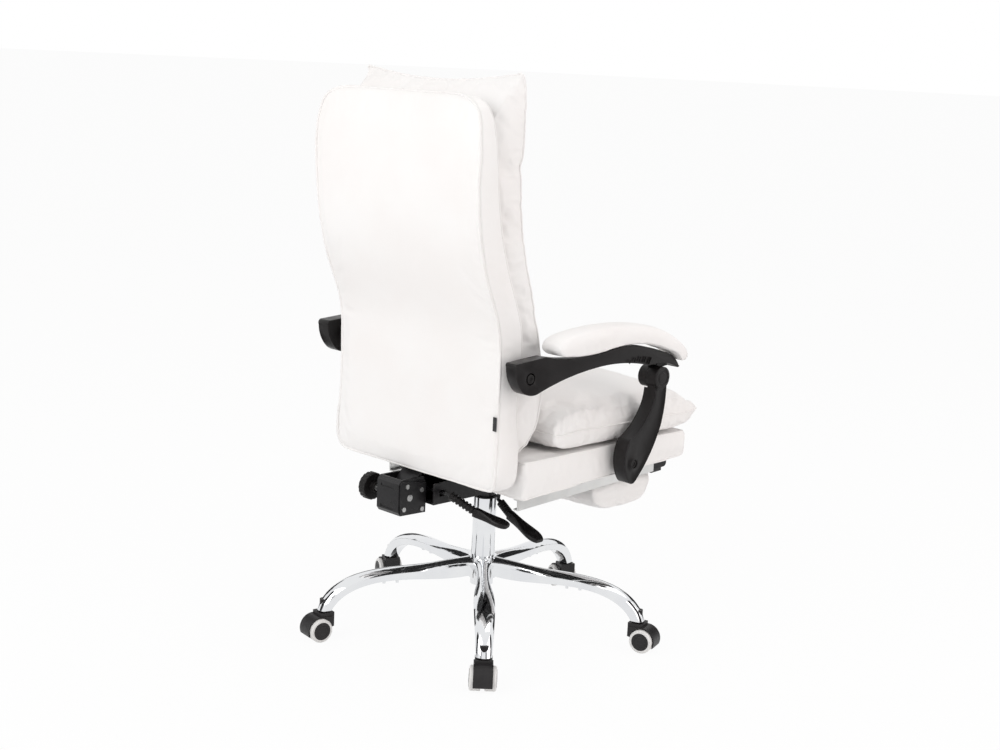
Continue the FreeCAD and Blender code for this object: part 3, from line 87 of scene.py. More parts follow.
Obj = bpy.types.Object
Tree = bpy.types.NodeTree
Node = bpy.types.Node
Socket = bpy.types.NodeSocket
Steps = tuple[tuple[float, float], ...]
SIDES = ((-1, "right"), (1, "left"))


class Surface(Enum):
    """The kinds of fine relief that a finish can have."""

    GRAINED = "grained"
    SATIN = "satin"
    POLISHED = "polished"
    WOVEN = "woven"
    LAYERED = "layered"


def emptied(owner: bpy.types.Material | bpy.types.World, kind: str) -> tuple[Tree, Node]:
    """Empties the nodes of a material or world, and adds its output.

    Args:
        owner: The material or world.
        kind: The output node's type.

    Returns:
        The nodes and the output.
    """
    owner.use_nodes = True
    owner.node_tree.nodes.clear()
    return owner.node_tree, owner.node_tree.nodes.new(kind)


@dataclass(frozen=True)
class Finish:
    """A procedural finish, from its colours to its relief.

    Colours are linear RGB. Relief depth is in metres and relief pitch is the size of
    one grain, in metres.
    """

    name: str
    colour: tuple[float, float, float]
    second: tuple[float, float, float]
    # Colour of wear, of the ply lines and of the painted edge lines, which are a painted
    # highlight on the dark finishes
    worn: tuple[float, float, float]
    roughness: tuple[float, float]
    surface: Surface
    pitch: float
    depth: float
    metallic: float = 0.0
    patch: float = 0.09
    # How strong the wear and the painted edge lines are
    wear: float = 0.25
    sheen: float = 0.0
    specular: float = 0.5
    edge: float = 0.0

    def material(self) -> bpy.types.Material:
        """Builds the finish as a node material, once.

        Returns:
            The material, shared by all that wear this finish.
        """
        known = bpy.data.materials.get(self.name)
        if known is not None:
            return known
        made = bpy.data.materials.new(self.name)
        tree, out = emptied(made, "ShaderNodeOutputMaterial")
        skin = tree.nodes.new("ShaderNodeBsdfPrincipled")
        tree.links.new(skin.outputs["BSDF"], out.inputs["Surface"])
        skin.inputs["Metallic"].default_value = self.metallic
        skin.inputs["Specular IOR Level"].default_value = self.specular
        skin.inputs["Sheen Weight"].default_value = self.sheen
        skin.inputs["Sheen Roughness"].default_value = 0.4
        place = tree.nodes.new("ShaderNodeTexCoord").outputs["Object"]
        tree.links.new(self._colour(tree, place), skin.inputs["Base Color"])
        tree.links.new(self._roughness(tree, place), skin.inputs["Roughness"])
        tree.links.new(self._relief(tree, place), skin.inputs["Normal"])
        return made

    def _noise(self, tree: Tree, place: Socket, size: float,
               detail: float = 4.0) -> Socket:
        """Adds a noise pattern.

        Args:
            tree: The material's nodes.
            place: Where the pattern is read.
            size: The size of one blotch in metres.
            detail: How many finer layers it has.

        Returns:
            The pattern's strength, from 0 to 1.
        """
        node = tree.nodes.new("ShaderNodeTexNoise")
        node.inputs["Scale"].default_value = 1.0 / size
        node.inputs["Detail"].default_value = detail
        tree.links.new(place, node.inputs["Vector"])
        return node.outputs["Fac"]

    def _range(self, tree: Tree, value: Socket, low: float,
               high: float, to_low: float, to_high: float) -> Socket:
        """Maps one span of a value onto another.

        Args:
            tree: The material's nodes.
            value: The value that is mapped.
            low: Where the span starts.
            high: Where the span ends.
            to_low: What the start becomes.
            to_high: What the end becomes.

        Returns:
            The mapped value.
        """
        node = tree.nodes.new("ShaderNodeMapRange")
        for slot, number in (("From Min", low), ("From Max", high), ("To Min", to_low),
                             ("To Max", to_high)):
            node.inputs[slot].default_value = number
        tree.links.new(value, node.inputs["Value"])
        return node.outputs["Result"]

    def _mixed(self, tree: Tree, share: Socket,
               first: Socket | tuple, second: tuple) -> Socket:
        """Mixes two colours.

        Args:
            tree: The material's nodes.
            share: How much of the second colour shows.
            first: The first colour, or where it comes from.
            second: The second colour.

        Returns:
            The mixed colour.
        """
        node = tree.nodes.new("ShaderNodeMix")
        node.data_type = "RGBA"
        tree.links.new(share, node.inputs[0])
        if isinstance(first, tuple):
            node.inputs[6].default_value = (*first, 1.0)
        else:
            tree.links.new(first, node.inputs[6])
        node.inputs[7].default_value = (*second, 1.0)
        return node.outputs[2]

    def _rounded(self, tree: Tree) -> Socket:
        """Adds the normal of a surface whose edges are rounded."""
        node = tree.nodes.new("ShaderNodeBevel")
        node.samples = 4
        node.inputs["Radius"].default_value = self.edge
        return node.outputs["Normal"]

    def _colour(self, tree: Tree, place: Socket) -> Socket:
        """Builds the colour: soft patches of two tones and wear on the convex edges; a finish
        with an edge radius gets painted edge lines instead, along convex and concave edges alike,
        lighter than the dark finishes as a painted highlight and darker than the pale metals.

        Args:
            tree: The material's nodes.
            place: Where the patterns are read.

        Returns:
            The colour.
        """
        patches = self._range(tree, self._noise(tree, place, self.patch), 0.35, 0.65, 0.0, 1.0)
        toned = self._mixed(tree, patches, self.colour, self.second)
        if self.surface is Surface.LAYERED:
            plies = tree.nodes.new("ShaderNodeTexWave")
            plies.bands_direction = "Z"
            plies.inputs["Scale"].default_value = 0.5 / self.pitch / 3.14
            plies.inputs["Distortion"].default_value = 1.2
            tree.links.new(place, plies.inputs["Vector"])
            toned = self._mixed(tree, self._range(tree, plies.outputs["Fac"], 0, 1, 0, 0.6),
                                toned, self.worn)
        shape = tree.nodes.new("ShaderNodeNewGeometry")
        # Painted edge lines: the edge colour goes wherever the rounded normal turns from the true
        # one, on convex and concave edges alike; on the dark finishes this is a painted
        # highlight, on the pale metals a darker line
        if self.edge > 0:
            turned = tree.nodes.new("ShaderNodeVectorMath")
            turned.operation = "DOT_PRODUCT"
            tree.links.new(self._rounded(tree), turned.inputs[0])
            tree.links.new(shape.outputs["Normal"], turned.inputs[1])
            wear_and_painted_edge_mask = self._range(tree, turned.outputs["Value"], 0.80, 0.97, self.wear, 0.0)
        else:
            # Wear on convex points only
            wear_and_painted_edge_mask = self._range(tree, shape.outputs["Pointiness"], 0.52, 0.62, 0.0, self.wear)
        # Scuff noise breaks the wear and the painted edge lines into patches
        scuffs = self._range(tree, self._noise(tree, place, SCUFF, 6.0), 0.45, 0.6, 0.0, 1.0)
        both = tree.nodes.new("ShaderNodeMath")
        both.operation = "MULTIPLY"
        tree.links.new(wear_and_painted_edge_mask, both.inputs[0])
        tree.links.new(scuffs, both.inputs[1])
        return self._mixed(tree, both.outputs[0], toned, self.worn)

    def _roughness(self, tree: Tree, place: Socket) -> Socket:
        """Builds the roughness, which wanders between the finish's two values.

        Args:
            tree: The material's nodes.
            place: Where the pattern is read.

        Returns:
            The roughness.
        """
        return self._range(tree, self._noise(tree, place, self.patch * 0.4, 5.0), 0.3, 0.7,
                           *self.roughness)

    def _relief(self, tree: Tree, place: Socket) -> Socket:
        """Builds the fine relief: leather cells, satin speckle, weave or ply lines.

        Args:
            tree: The material's nodes.
            place: Where the pattern is read.

        Returns:
            The normal.
        """
        if self.surface is Surface.GRAINED:
            cells = tree.nodes.new("ShaderNodeTexVoronoi")
            cells.feature = "SMOOTH_F1"
            cells.inputs["Scale"].default_value = 1.0 / self.pitch
            tree.links.new(place, cells.inputs["Vector"])
            height = cells.outputs["Distance"]
        elif self.surface is Surface.WOVEN:
            weave = tree.nodes.new("ShaderNodeTexWave")
            weave.bands_direction = "DIAGONAL"
            weave.inputs["Scale"].default_value = 1.0 / self.pitch / 6.28
            tree.links.new(place, weave.inputs["Vector"])
            height = weave.outputs["Fac"]
        else:
            height = self._noise(tree, place, self.pitch, 3.0)
        bump = tree.nodes.new("ShaderNodeBump")
        bump.inputs["Strength"].default_value = 1.0
        bump.inputs["Distance"].default_value = self.depth
        tree.links.new(height, bump.inputs["Height"])
        if self.edge > 0:
            tree.links.new(self._rounded(tree), bump.inputs["Normal"])
        return bump.outputs["Normal"]


# The third colour is each finish's colour of wear, ply lines and painted edge lines; the light
# greys of the dark plastics, casters and coated steel paint highlights along their edges
LEATHER = Finish("white_leatherette", (0.90, 0.888, 0.88), (0.885, 0.862, 0.85),
                 (0.80, 0.76, 0.73), (0.40, 0.56), Surface.GRAINED, 0.0016, 0.00012,
                 patch=0.16, wear=0.3, sheen=0.05)
CHROME = Finish("polished_chrome", (0.80, 0.81, 0.82), (0.76, 0.77, 0.79), (0.62, 0.62, 0.63),
                (0.04, 0.11), Surface.POLISHED, 0.02, 0.00002, metallic=1.0, patch=0.05,
                wear=0.2, edge=0.0008)
CASTER = Finish("moulded_grey", (0.012, 0.011, 0.0115), (0.016, 0.0148, 0.0155),
                (0.11, 0.105, 0.105), (0.34, 0.5), Surface.SATIN, 0.0009, 0.00004,
                patch=0.02, wear=0.6, specular=0.32, edge=0.0008)
RING = Finish("moulded_ring", (0.80, 0.79, 0.78), (0.74, 0.73, 0.72), (0.5, 0.48, 0.46),
              (0.35, 0.55), Surface.SATIN, 0.0012, 0.00004, patch=0.015, wear=0.5,
              edge=0.0006)
STEEL = Finish("bright_steel", (0.62, 0.62, 0.61), (0.54, 0.54, 0.54), (0.4, 0.39, 0.38),
               (0.22, 0.4), Surface.SATIN, 0.0007, 0.00003, metallic=1.0, patch=0.02,
               wear=0.3, edge=0.0004)
PLASTIC = Finish("moulded_black", (0.0085, 0.0072, 0.0074), (0.011, 0.0096, 0.0098),
                 (0.10, 0.094, 0.092), (0.30, 0.42), Surface.SATIN, 0.0008, 0.00004,
                 patch=0.05, wear=0.7, specular=0.24, edge=0.0013)
COATED = Finish("black_coated_steel", (0.010, 0.0095, 0.0105), (0.016, 0.0155, 0.0165),
                (0.09, 0.086, 0.083), (0.26, 0.42), Surface.SATIN, 0.0011, 0.00005,
                patch=0.03, wear=0.55, specular=0.35, edge=0.0008)
PLYWOOD = Finish("birch_plywood", (0.52, 0.37, 0.22), (0.46, 0.31, 0.18), (0.30, 0.19, 0.10),
                 (0.5, 0.75), Surface.LAYERED, 0.0015, 0.0001, patch=0.03, wear=0.3)
TAB = Finish("woven_tab", (0.016, 0.016, 0.017), (0.024, 0.024, 0.025), (0.06, 0.06, 0.06),
             (0.7, 0.9), Surface.WOVEN, 0.0006, 0.0001, patch=0.004, sheen=0.2)
LINING = Finish("dark_lining", (0.035, 0.035, 0.036), (0.05, 0.05, 0.05), (0.09, 0.09, 0.09),
                (0.8, 0.95), Surface.WOVEN, 0.0012, 0.00012, patch=0.02)
ZINC = Finish("zinc_plated_steel", (0.80, 0.80, 0.79), (0.74, 0.74, 0.73), (0.55, 0.54, 0.52),
              (0.30, 0.42), Surface.POLISHED, 0.01, 0.00001, metallic=0.85, patch=0.05,
              wear=0.2, edge=0.0004)
NODE_FINISHES: dict[str, Finish] = {
    "footrest_rails": ZINC, "footrest_board": LINING, "seat_board": LINING,
}
SLOT_FINISHES: dict[str, Finish] = {
    "chrome": CHROME, "caster_plastic": CASTER, "wheel_ring": RING, "steel": STEEL,
    "black_plastic": PLASTIC, "black_steel": COATED, "plywood": PLYWOOD,
    "leather": LEATHER, "tab_fabric": TAB,
}


def deselect_all() -> None:
    """Leaves object mode's selection empty."""
    if bpy.context.object is not None and bpy.context.object.mode != "OBJECT":
        bpy.ops.object.mode_set(mode="OBJECT")
    bpy.ops.object.select_all(action="DESELECT")


@contextmanager
def editing() -> Iterator[None]:
    """Holds edit mode for a few operators."""
    bpy.ops.object.mode_set(mode="EDIT")
    yield
    bpy.ops.object.mode_set(mode="OBJECT")


def pick(piece: Obj) -> None:
    """Makes one object the selected and active one.

    Args:
        piece: The object.
    """
    deselect_all()
    piece.hide_set(False)
    piece.select_set(True)
    bpy.context.view_layer.objects.active = piece


def apply_modifier(piece: Obj, kind: str, **settings: object) -> None:
    """Adds a modifier with its settings and applies it.

    Args:
        piece: The object.
        kind: The modifier's type.
        settings: The modifier's settings by name.
    """
    pick(piece)
    bpy.ops.object.modifier_add(type=kind)
    modifier = piece.modifiers[-1]
    for name, value in settings.items():
        setattr(modifier, name, value)
    bpy.ops.object.modifier_apply(modifier=modifier.name)


def clean_normals(piece: Obj, weld: float = 0.00002) -> None:
    """Merges doubles and turns the faces outwards.

    Args:
        piece: The object.
        weld: The distance under which two points are one, in metres.
    """
    pick(piece)
    with editing():
        bpy.ops.mesh.select_all(action="SELECT")
        bpy.ops.mesh.remove_doubles(threshold=weld)
        bpy.ops.mesh.normals_make_consistent(inside=False)


def smooth_shaded(piece: Obj, angle: float | None = None) -> None:
    """Shades a piece smooth.

    Args:
        piece: The object.
        angle: The angle in degrees above which an edge stays crisp, or None for all smooth.
    """
    pick(piece)
    if angle is None:
        bpy.ops.object.shade_smooth()
    else:
        bpy.ops.object.shade_smooth_by_angle(angle=math.radians(angle))


def dress(piece: Obj, finish: Finish, body: str) -> Obj:
    """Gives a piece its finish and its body.

    Args:
        piece: The object.
        finish: What it wears.
        body: The body that it rides on.

    Returns:
        The piece.
    """
    piece.data.materials.clear()
    piece.data.materials.append(finish.material())
    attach(piece, body)
    return piece


def copy_of(piece: Obj, name: str) -> Obj:
    """Adds a copy of a piece, with a mesh of its own.

    Args:
        piece: The piece that is copied.
        name: The copy's name.

    Returns:
        The copy.
    """
    made = bpy.data.objects.new(name, piece.data.copy())
    bpy.context.scene.collection.objects.link(made)
    return made


def stepped_disc(points: int, radius: float, depth: float, steps: Steps) -> Obj:
    """Builds a disc whose outer face steps in and out.

    Args:
        points: How many points go round it.
        radius: Its radius.
        depth: Its thickness.
        steps: How far each step goes in, and how far it lifts.

    Returns:
        The disc, which faces up.
    """
    deselect_all()
    bpy.ops.mesh.primitive_cylinder_add(vertices=points, radius=radius, depth=depth,
                                        end_fill_type="NGON")
    disc = bpy.context.object
    for face in disc.data.polygons:
        face.select = face.normal.z > OUTER_FACE
    with editing():
        bpy.ops.mesh.select_mode(type="FACE")
        for inset, lift in steps:
            bpy.ops.mesh.inset(thickness=inset, depth=lift)
    return disc


def seat_at(piece: Obj, spot: Vector, outward: Vector, crisp: float) -> None:
    """Turns an upward piece to face outwards, puts it in its place and shades it.

    Args:
        piece: The piece.
        spot: Where its middle goes.
        outward: Where its face points.
        crisp: The angle in degrees above which an edge stays crisp.
    """
    turn = outward.to_track_quat("Z", "Y").to_matrix().to_4x4()
    piece.data.transform(Matrix.Translation(spot) @ turn)
    smooth_shaded(piece, crisp)


def skin_tree(piece: Obj) -> BVHTree:
    """Sorts a mesh's faces for a nearest search."""
    return BVHTree.FromPolygons(
        points_of(piece), [tuple(face.vertices) for face in piece.data.polygons])


def mirrored(side: list[Vector]) -> list[Vector]:
    """Runs a row of points back on the chair's other side."""
    return [Vector((-place.x, place.y, place.z)) for place in reversed(side)]


def points_of(piece: Obj) -> list[Vector]:
    """Lists the places of a mesh's points."""
    return [vertex.co.copy() for vertex in piece.data.vertices]


def normals_of(piece: Obj) -> list[Vector]:
    """Lists the directions that a mesh's points face."""
    return [vertex.normal.copy() for vertex in piece.data.vertices]


def move_points(piece: Obj, places: list[Vector]) -> None:
    """Puts a mesh's points in new places.

    Args:
        piece: The object.
        places: One place for each point.
    """
    piece.data.vertices.foreach_set("co", [part for place in places for part in place])
    piece.data.update()


def smooth_path(path: list[Vector], closed: bool, pitch: float) -> list[Vector]:
    """Runs an even curve through a few points.

    Args:
        path: The points.
        closed: Whether the curve comes back to its start.
        pitch: The distance between the new points, in metres.

    Returns:
        The curve's points.
    """
    count = len(path)
    curve: list[Vector] = []
    spans = count if closed else count - 1
    for index in range(spans):
        if closed:
            before, start, end, after = (path[(index + shift) % count] for shift in (-1, 0, 1, 2))
        else:
            before, start, end, after = (
                path[min(max(index + shift, 0), count - 1)] for shift in (-1, 0, 1, 2))
        steps = max(1, round((end - start).length / pitch))
        reach = (end - start).length
        first = (end - before) * (reach / max((end - before).length, 1e-9))
        last = (after - start) * (reach / max((after - start).length, 1e-9))
        for step in range(steps):
            t = step / steps
            curve.append(start * (2 * t ** 3 - 3 * t ** 2 + 1) + first * (t ** 3 - 2 * t ** 2 + t)
                         + end * (3 * t ** 2 - 2 * t ** 3) + last * (t ** 3 - t ** 2))
    if not closed:
        curve.append(path[-1].copy())
    return curve


@dataclass
class Seam:
    """A sewn line on a cushion, as a few points that a curve runs through."""

    name: str
    path: list[Vector]
    closed: bool = False
    welt: float = 0.0
    groove: float = 0.0018
    reach: float = 0.009
    pucker: float = 0.0
    pitch: float = 0.003

    def curve(self) -> list[Vector]:
        """Returns the seam's even points."""
        return smooth_path(self.path, self.closed, self.pitch)


@dataclass
class Upholstery:
    """A stuffed piece that takes the form of its solid and is blown up like real padding."""

    frame: dict
    node: str
    name: str
    body: str
    voxel: float
    seams: list[Seam]
    neighbours: list[str]
    pressure: float = 4.0
    slack: float = 0.03
    inset: float = 0.003
    proud: float = 0.002
    cap: float = 0.012
    soften: int = 4
    fill: float = 0.7
    levels: int = 1

    def build(self) -> Obj:
        """Builds and returns the cushion with its seams."""
        source = self.frame["nodes"][self.node]
        pad = copy_of(source, self.name)
        clean_normals(pad)
        limit = skin_tree(pad)
        apply_modifier(pad, "REMESH", mode="VOXEL", voxel_size=self.voxel)
        self._blow_up(pad, limit)
        if self.levels:
            apply_modifier(pad, "SUBSURF", levels=self.levels, render_levels=self.levels)
        self._sew(pad)
        smooth_shaded(pad)
        dress(pad, LEATHER, self.body)
        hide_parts(self.node)
        for seam in self.seams:
            if seam.welt > 0:
                self._welt(pad, seam)
        LOG.info("%s: %d faces, %d seams", self.name, len(pad.data.polygons), len(self.seams))
        return pad

    def _seam_tree(self, seams: list[Seam]) -> KDTree | None:
        """Sorts all seam points for a nearest search.

        Args:
            seams: The seams that are sorted.

        Returns:
            The search tree, or None where there is no seam.
        """
        places = [place for seam in seams for place in seam.curve()]
        if not places:
            return None
        tree = KDTree(len(places))
        for index, place in enumerate(places):
            tree.insert(place, index)
        tree.balance()
        return tree

    def _contact(self, places: list[Vector], near: float = 0.005) -> list[bool]:
        """Tells which points lie against a neighbouring piece.

        Args:
            places: The points.
            near: How close a neighbour has to be, in metres.

        Returns:
            One truth value for each point.
        """
        walls = [skin_tree(self.frame["nodes"][name]) for name in self.neighbours]
        return [any(wall.find_nearest(place, near)[0] is not None for wall in walls)
                for place in places]

    def _blow_up(self, pad: Obj, limit: BVHTree) -> None:
        """Softens the solid's edges, then fills the cover like a cushion.

        Args:
            pad: The remeshed copy of the solid.
            limit: The solid's own surface, which the cover may hardly leave.
        """
        tree = self._seam_tree(self.seams)
        start = points_of(pad)
        touching = self._contact(start)
        free = pad.vertex_groups.new(name="free")
        pinned = pad.vertex_groups.new(name="pinned")
        for index, place in enumerate(start):
            gap = tree.find(place)[2] if tree is not None else 1.0
            loose = min(1.0, max(0.0, (gap - self.voxel) / (2.5 * self.voxel)))
            if touching[index]:
                loose *= 0.15
            free.add([index], 0.25 + 0.75 * loose, "REPLACE")
            pinned.add([index], 1.0 - loose if loose < 0.95 else 0.0, "REPLACE")
        apply_modifier(pad, "SMOOTH", factor=0.5, iterations=self.soften, vertex_group="free")
        self._simulate(pad, free.index)
        self._hold_inside(pad, limit)

    def _simulate(self, pad: Obj, free: int) -> None:
        """Lets the padding press the cover outwards as cloth, and keeps the result.

        Args:
            pad: The cushion.
            free: The index of the group that says how loose each point is.
        """
        before = points_of(pad)
        drawn = []
        for vertex, place, normal in zip(pad.data.vertices, before, normals_of(pad)):
            weight = next((g.weight for g in vertex.groups if g.group == free), 1.0)
            drawn.append(place - normal * self.inset * max(0.0, weight - 0.25) / 0.75)
        move_points(pad, drawn)
        pick(pad)
        bpy.ops.object.modifier_add(type="CLOTH")
        cloth = pad.modifiers[-1]
        for name, value in CLOTH.items():
            setattr(cloth.settings, name, value)
        cloth.settings.uniform_pressure_force = self.pressure
        cloth.settings.shrink_min = -self.slack
        cloth.settings.effector_weights.gravity = 0
        cloth.settings.vertex_group_mass = "pinned"
        cloth.collision_settings.use_collision = False
        cloth.point_cache.frame_start = 1
        cloth.point_cache.frame_end = CLOTH_FRAMES
        for step in range(1, CLOTH_FRAMES + 1):
            bpy.context.scene.frame_set(step)
        bpy.ops.object.modifier_apply(modifier=cloth.name)
        bpy.context.scene.frame_set(1)
        swollen = []
        for now, place in zip(points_of(pad), before):
            move = now - place
            swollen.append(place + move * min(1.0, self.cap / max(move.length, 1e-9)))
        move_points(pad, swollen)
        apply_modifier(pad, "SMOOTH", factor=0.4, iterations=1)

    def _hold_inside(self, pad: Obj, limit: BVHTree) -> None:
        """Keeps the cover in its solid's space, and clear of what it lies against.

        Args:
            pad: The cushion.
            limit: The solid's own surface.
        """
        places = points_of(pad)
        held = []
        for place, touches in zip(places, self._contact(places)):
            near, normal, _, distance = limit.find_nearest(place)
            outside = distance if (place - near).dot(normal) > 0 else -distance
            allowed = -0.0002 if touches else self.proud
            held.append(near + normal * allowed if outside > allowed else place)
        move_points(pad, held)

    def _sew(self, pad: Obj) -> None:
        """Draws the cover in along its seams, with the gathers that the thread pulls.

        Args:
            pad: The cushion.
        """
        for seam in self.seams:
            tree = self._seam_tree([seam])
            wide = max(seam.reach, PUCKER_REACH if seam.pucker else 0.0)
            sewn = points_of(pad)
            for number, normal in enumerate(normals_of(pad)):
                _, index, gap = tree.find(sewn[number])
                if gap > wide:
                    continue
                sink = 0.0
                if gap < seam.reach:
                    sink = seam.groove * (1 - gap / seam.reach) ** 2
                if seam.pucker and gap < PUCKER_REACH:
                    along = index * seam.pitch
                    fold = noise(Vector((along / 0.017, gap / 0.09, 3.1)))
                    rise = min(1.0, gap / 0.006) * (1 - gap / PUCKER_REACH) ** 1.5
                    sink += seam.pucker * (0.35 + fold) * rise
                sewn[number] -= normal * sink
            move_points(pad, sewn)

    def _welt(self, pad: Obj, seam: Seam) -> Obj:
        """Lays a sewn cord along a seam.

        Args:
            pad: The cushion that the cord lies on.
            seam: The seam.

        Returns:
            The cord.
        """
        surface = skin_tree(pad)
        places = []
        for place in seam.curve():
            near, normal, _, _ = surface.find_nearest(place)
            places.append(near + normal * seam.welt * 0.35)
        count = len(places)
        for _ in range(3):
            places = [
                place if not seam.closed and index in (0, count - 1) else
                place * 0.5 + (places[index - 1] + places[(index + 1) % count]) * 0.25
                for index, place in enumerate(places)]
        deselect_all()
        bpy.ops.curve.primitive_nurbs_path_add()
        welt = bpy.context.object
        welt.name = seam.name
        welt.data.splines.clear()
        spline = welt.data.splines.new("POLY")
        spline.points.add(count - 1)
        for point, place in zip(spline.points, places):
            point.co = (*place, 1.0)
        spline.use_cyclic_u = seam.closed
        welt.data.dimensions = "3D"
        welt.data.bevel_depth = seam.welt
        welt.data.bevel_resolution = 2
        welt.data.use_fill_caps = True
        bpy.ops.object.convert(target="MESH")
        welt = bpy.context.object
        smooth_shaded(welt)
        return dress(welt, LEATHER, self.body)


@dataclass(frozen=True)
class Station:
    """One level of the backrest's outer shell, in millimetres."""

    level: float
    rear: float
    depth: float
    draw: float


@dataclass
class Backrest:
    """The padded outer shell and the soft overlay with its head pillow."""

    frame: dict
    shell_half: float = 238.0
    stations: tuple[Station, ...] = (
        Station(383, 214, 58, -16), Station(397, 220, 64, -3), Station(508, 220, 64, 0),
        Station(633, 220, 64, 0), Station(718, 231, 69.6, 0), Station(818, 271, 71, 0),
        Station(959, 298, 62, 0), Station(1073, 300, 48, 0), Station(1111, 297, 42, -8),
        Station(1133, 295, 38, -22), Station(1147, 290, 29, -46), Station(1153, 283, 16, -78),
    )
    overlay_side: tuple[tuple[float, float, float], ...] = (
        (446, 126, 213), (496, 92, 227), (633, 88, 229), (718, 106.5, 229),
        (818, 135, 226), (959, 162, 225), (1073, 165, 229), (1143, 166, 229),
        (1186, 171, 228), (1198, 177, 229),
    )

    def _loop(self, rear: bool) -> list[Vector]:
        """Runs round the shell's rear or front edge.

        Args:
            rear: Whether it is the rear edge.

        Returns:
            A closed row of points.
        """
        side = [Vector((self.shell_half + at.draw, at.rear - (0.5 if rear else at.depth),
                        at.level)) * MM for at in self.stations]
        top = [Vector((x, side[-1].y / MM, 1153)) * MM for x in (80, 0, -80)]
        low = [Vector((x, side[0].y / MM, 383)) * MM for x in (-110, 0, 110)]
        return side + top + mirrored(side) + low

    def _ear(self) -> list[Vector]:
        """Runs up the overlay's one side, over its sagging top and down the other."""
        side = [Vector((x, y, z)) * MM for z, y, x in self.overlay_side]
        top = []
        for x in (150, 75, 0, -75, -150):
            dip = 1202.8 - math.sqrt(1202.8 ** 2 - x * x)
            top.append(Vector((x, 177, 1176 + dip)) * MM)
        low = [Vector((x, 126, 446)) * MM for x in (-110, 0, 110)]
        return side + top + mirrored(side) + low

    def _folds(self) -> list[Seam]:
        """Lists the upright folds low on the overlay's sides, where the seat pushes it."""
        folds = []
        for side, hand in SIDES:
            for index, (back, low, high) in enumerate(((70, 452, 590), (92, 450, 640),
                                                       (112, 452, 560))):
                path = [Vector((side * 229, back + 4 * math.sin(level / 17), level)) * MM
                        for level in range(low, high, 22)]
                folds.append(Seam("back_overlay_fold_%s_%d" % (hand, index), path,
                                  groove=0.0036, reach=0.011))
        return folds

    def _across(self, level: float, seam_back: float, front: float,
                reach: float) -> list[Vector]:
        """Runs across the overlay's front from ear to ear.

        Args:
            level: The height in millimetres.
            seam_back: How far back the ears lie.
            front: How far back the crown's middle lies.
            reach: How much of the way to the ears the row goes.

        Returns:
            An open row of points.
        """
        row = []
        for share in (-reach, -0.8, -0.5, 0, 0.5, 0.8, reach):
            back = front + (seam_back - front) * share * share
            row.append(Vector((226 * share, back, level)) * MM)
        return row

    def build(self) -> list[Obj]:
        """Builds and returns the shell and the overlay."""
        shell = Upholstery(
            self.frame, "back_shell", "back_shell_cover", "backrest", 0.0065,
            [Seam("back_shell_rear_welt", self._loop(True), closed=True, welt=0.003,
                  groove=0.0056, reach=0.009, pucker=0.0006),
             Seam("back_shell_front_welt", self._loop(False), closed=True, welt=0.002,
                  groove=0.0026, reach=0.009)],
            ["back_board", "back_strap", "back_overlay", "back_bolts", "arm_frame_right",
             "arm_frame_left", "spring_case", "back_tab"],
            pressure=3.0, slack=0.004, inset=0.002, proud=0.0012, cap=0.006, fill=0.85).build()
        overlay = Upholstery(
            self.frame, "back_overlay", "back_overlay_cover", "backrest", 0.0058,
            [Seam("back_overlay_ear_welt", self._ear(), closed=True, welt=0.002,
                  groove=0.0006, reach=0.008, pucker=0.0018),
             Seam("back_overlay_waist_seam", self._across(728, 108, 66, 0.93), groove=0.009,
                  reach=0.03, pucker=0.0018),
             Seam("back_overlay_head_seam", self._across(1015, 163, 103, 1.0), groove=0.009,
                  reach=0.026, pucker=0.0018), *self._folds()],
            ["back_shell", "back_board", "seat_pillow", "seat_cushion"],
            pressure=5.0, slack=0.035, inset=0.004, proud=0.003, cap=0.014, fill=0.6).build()
        return [shell, overlay]


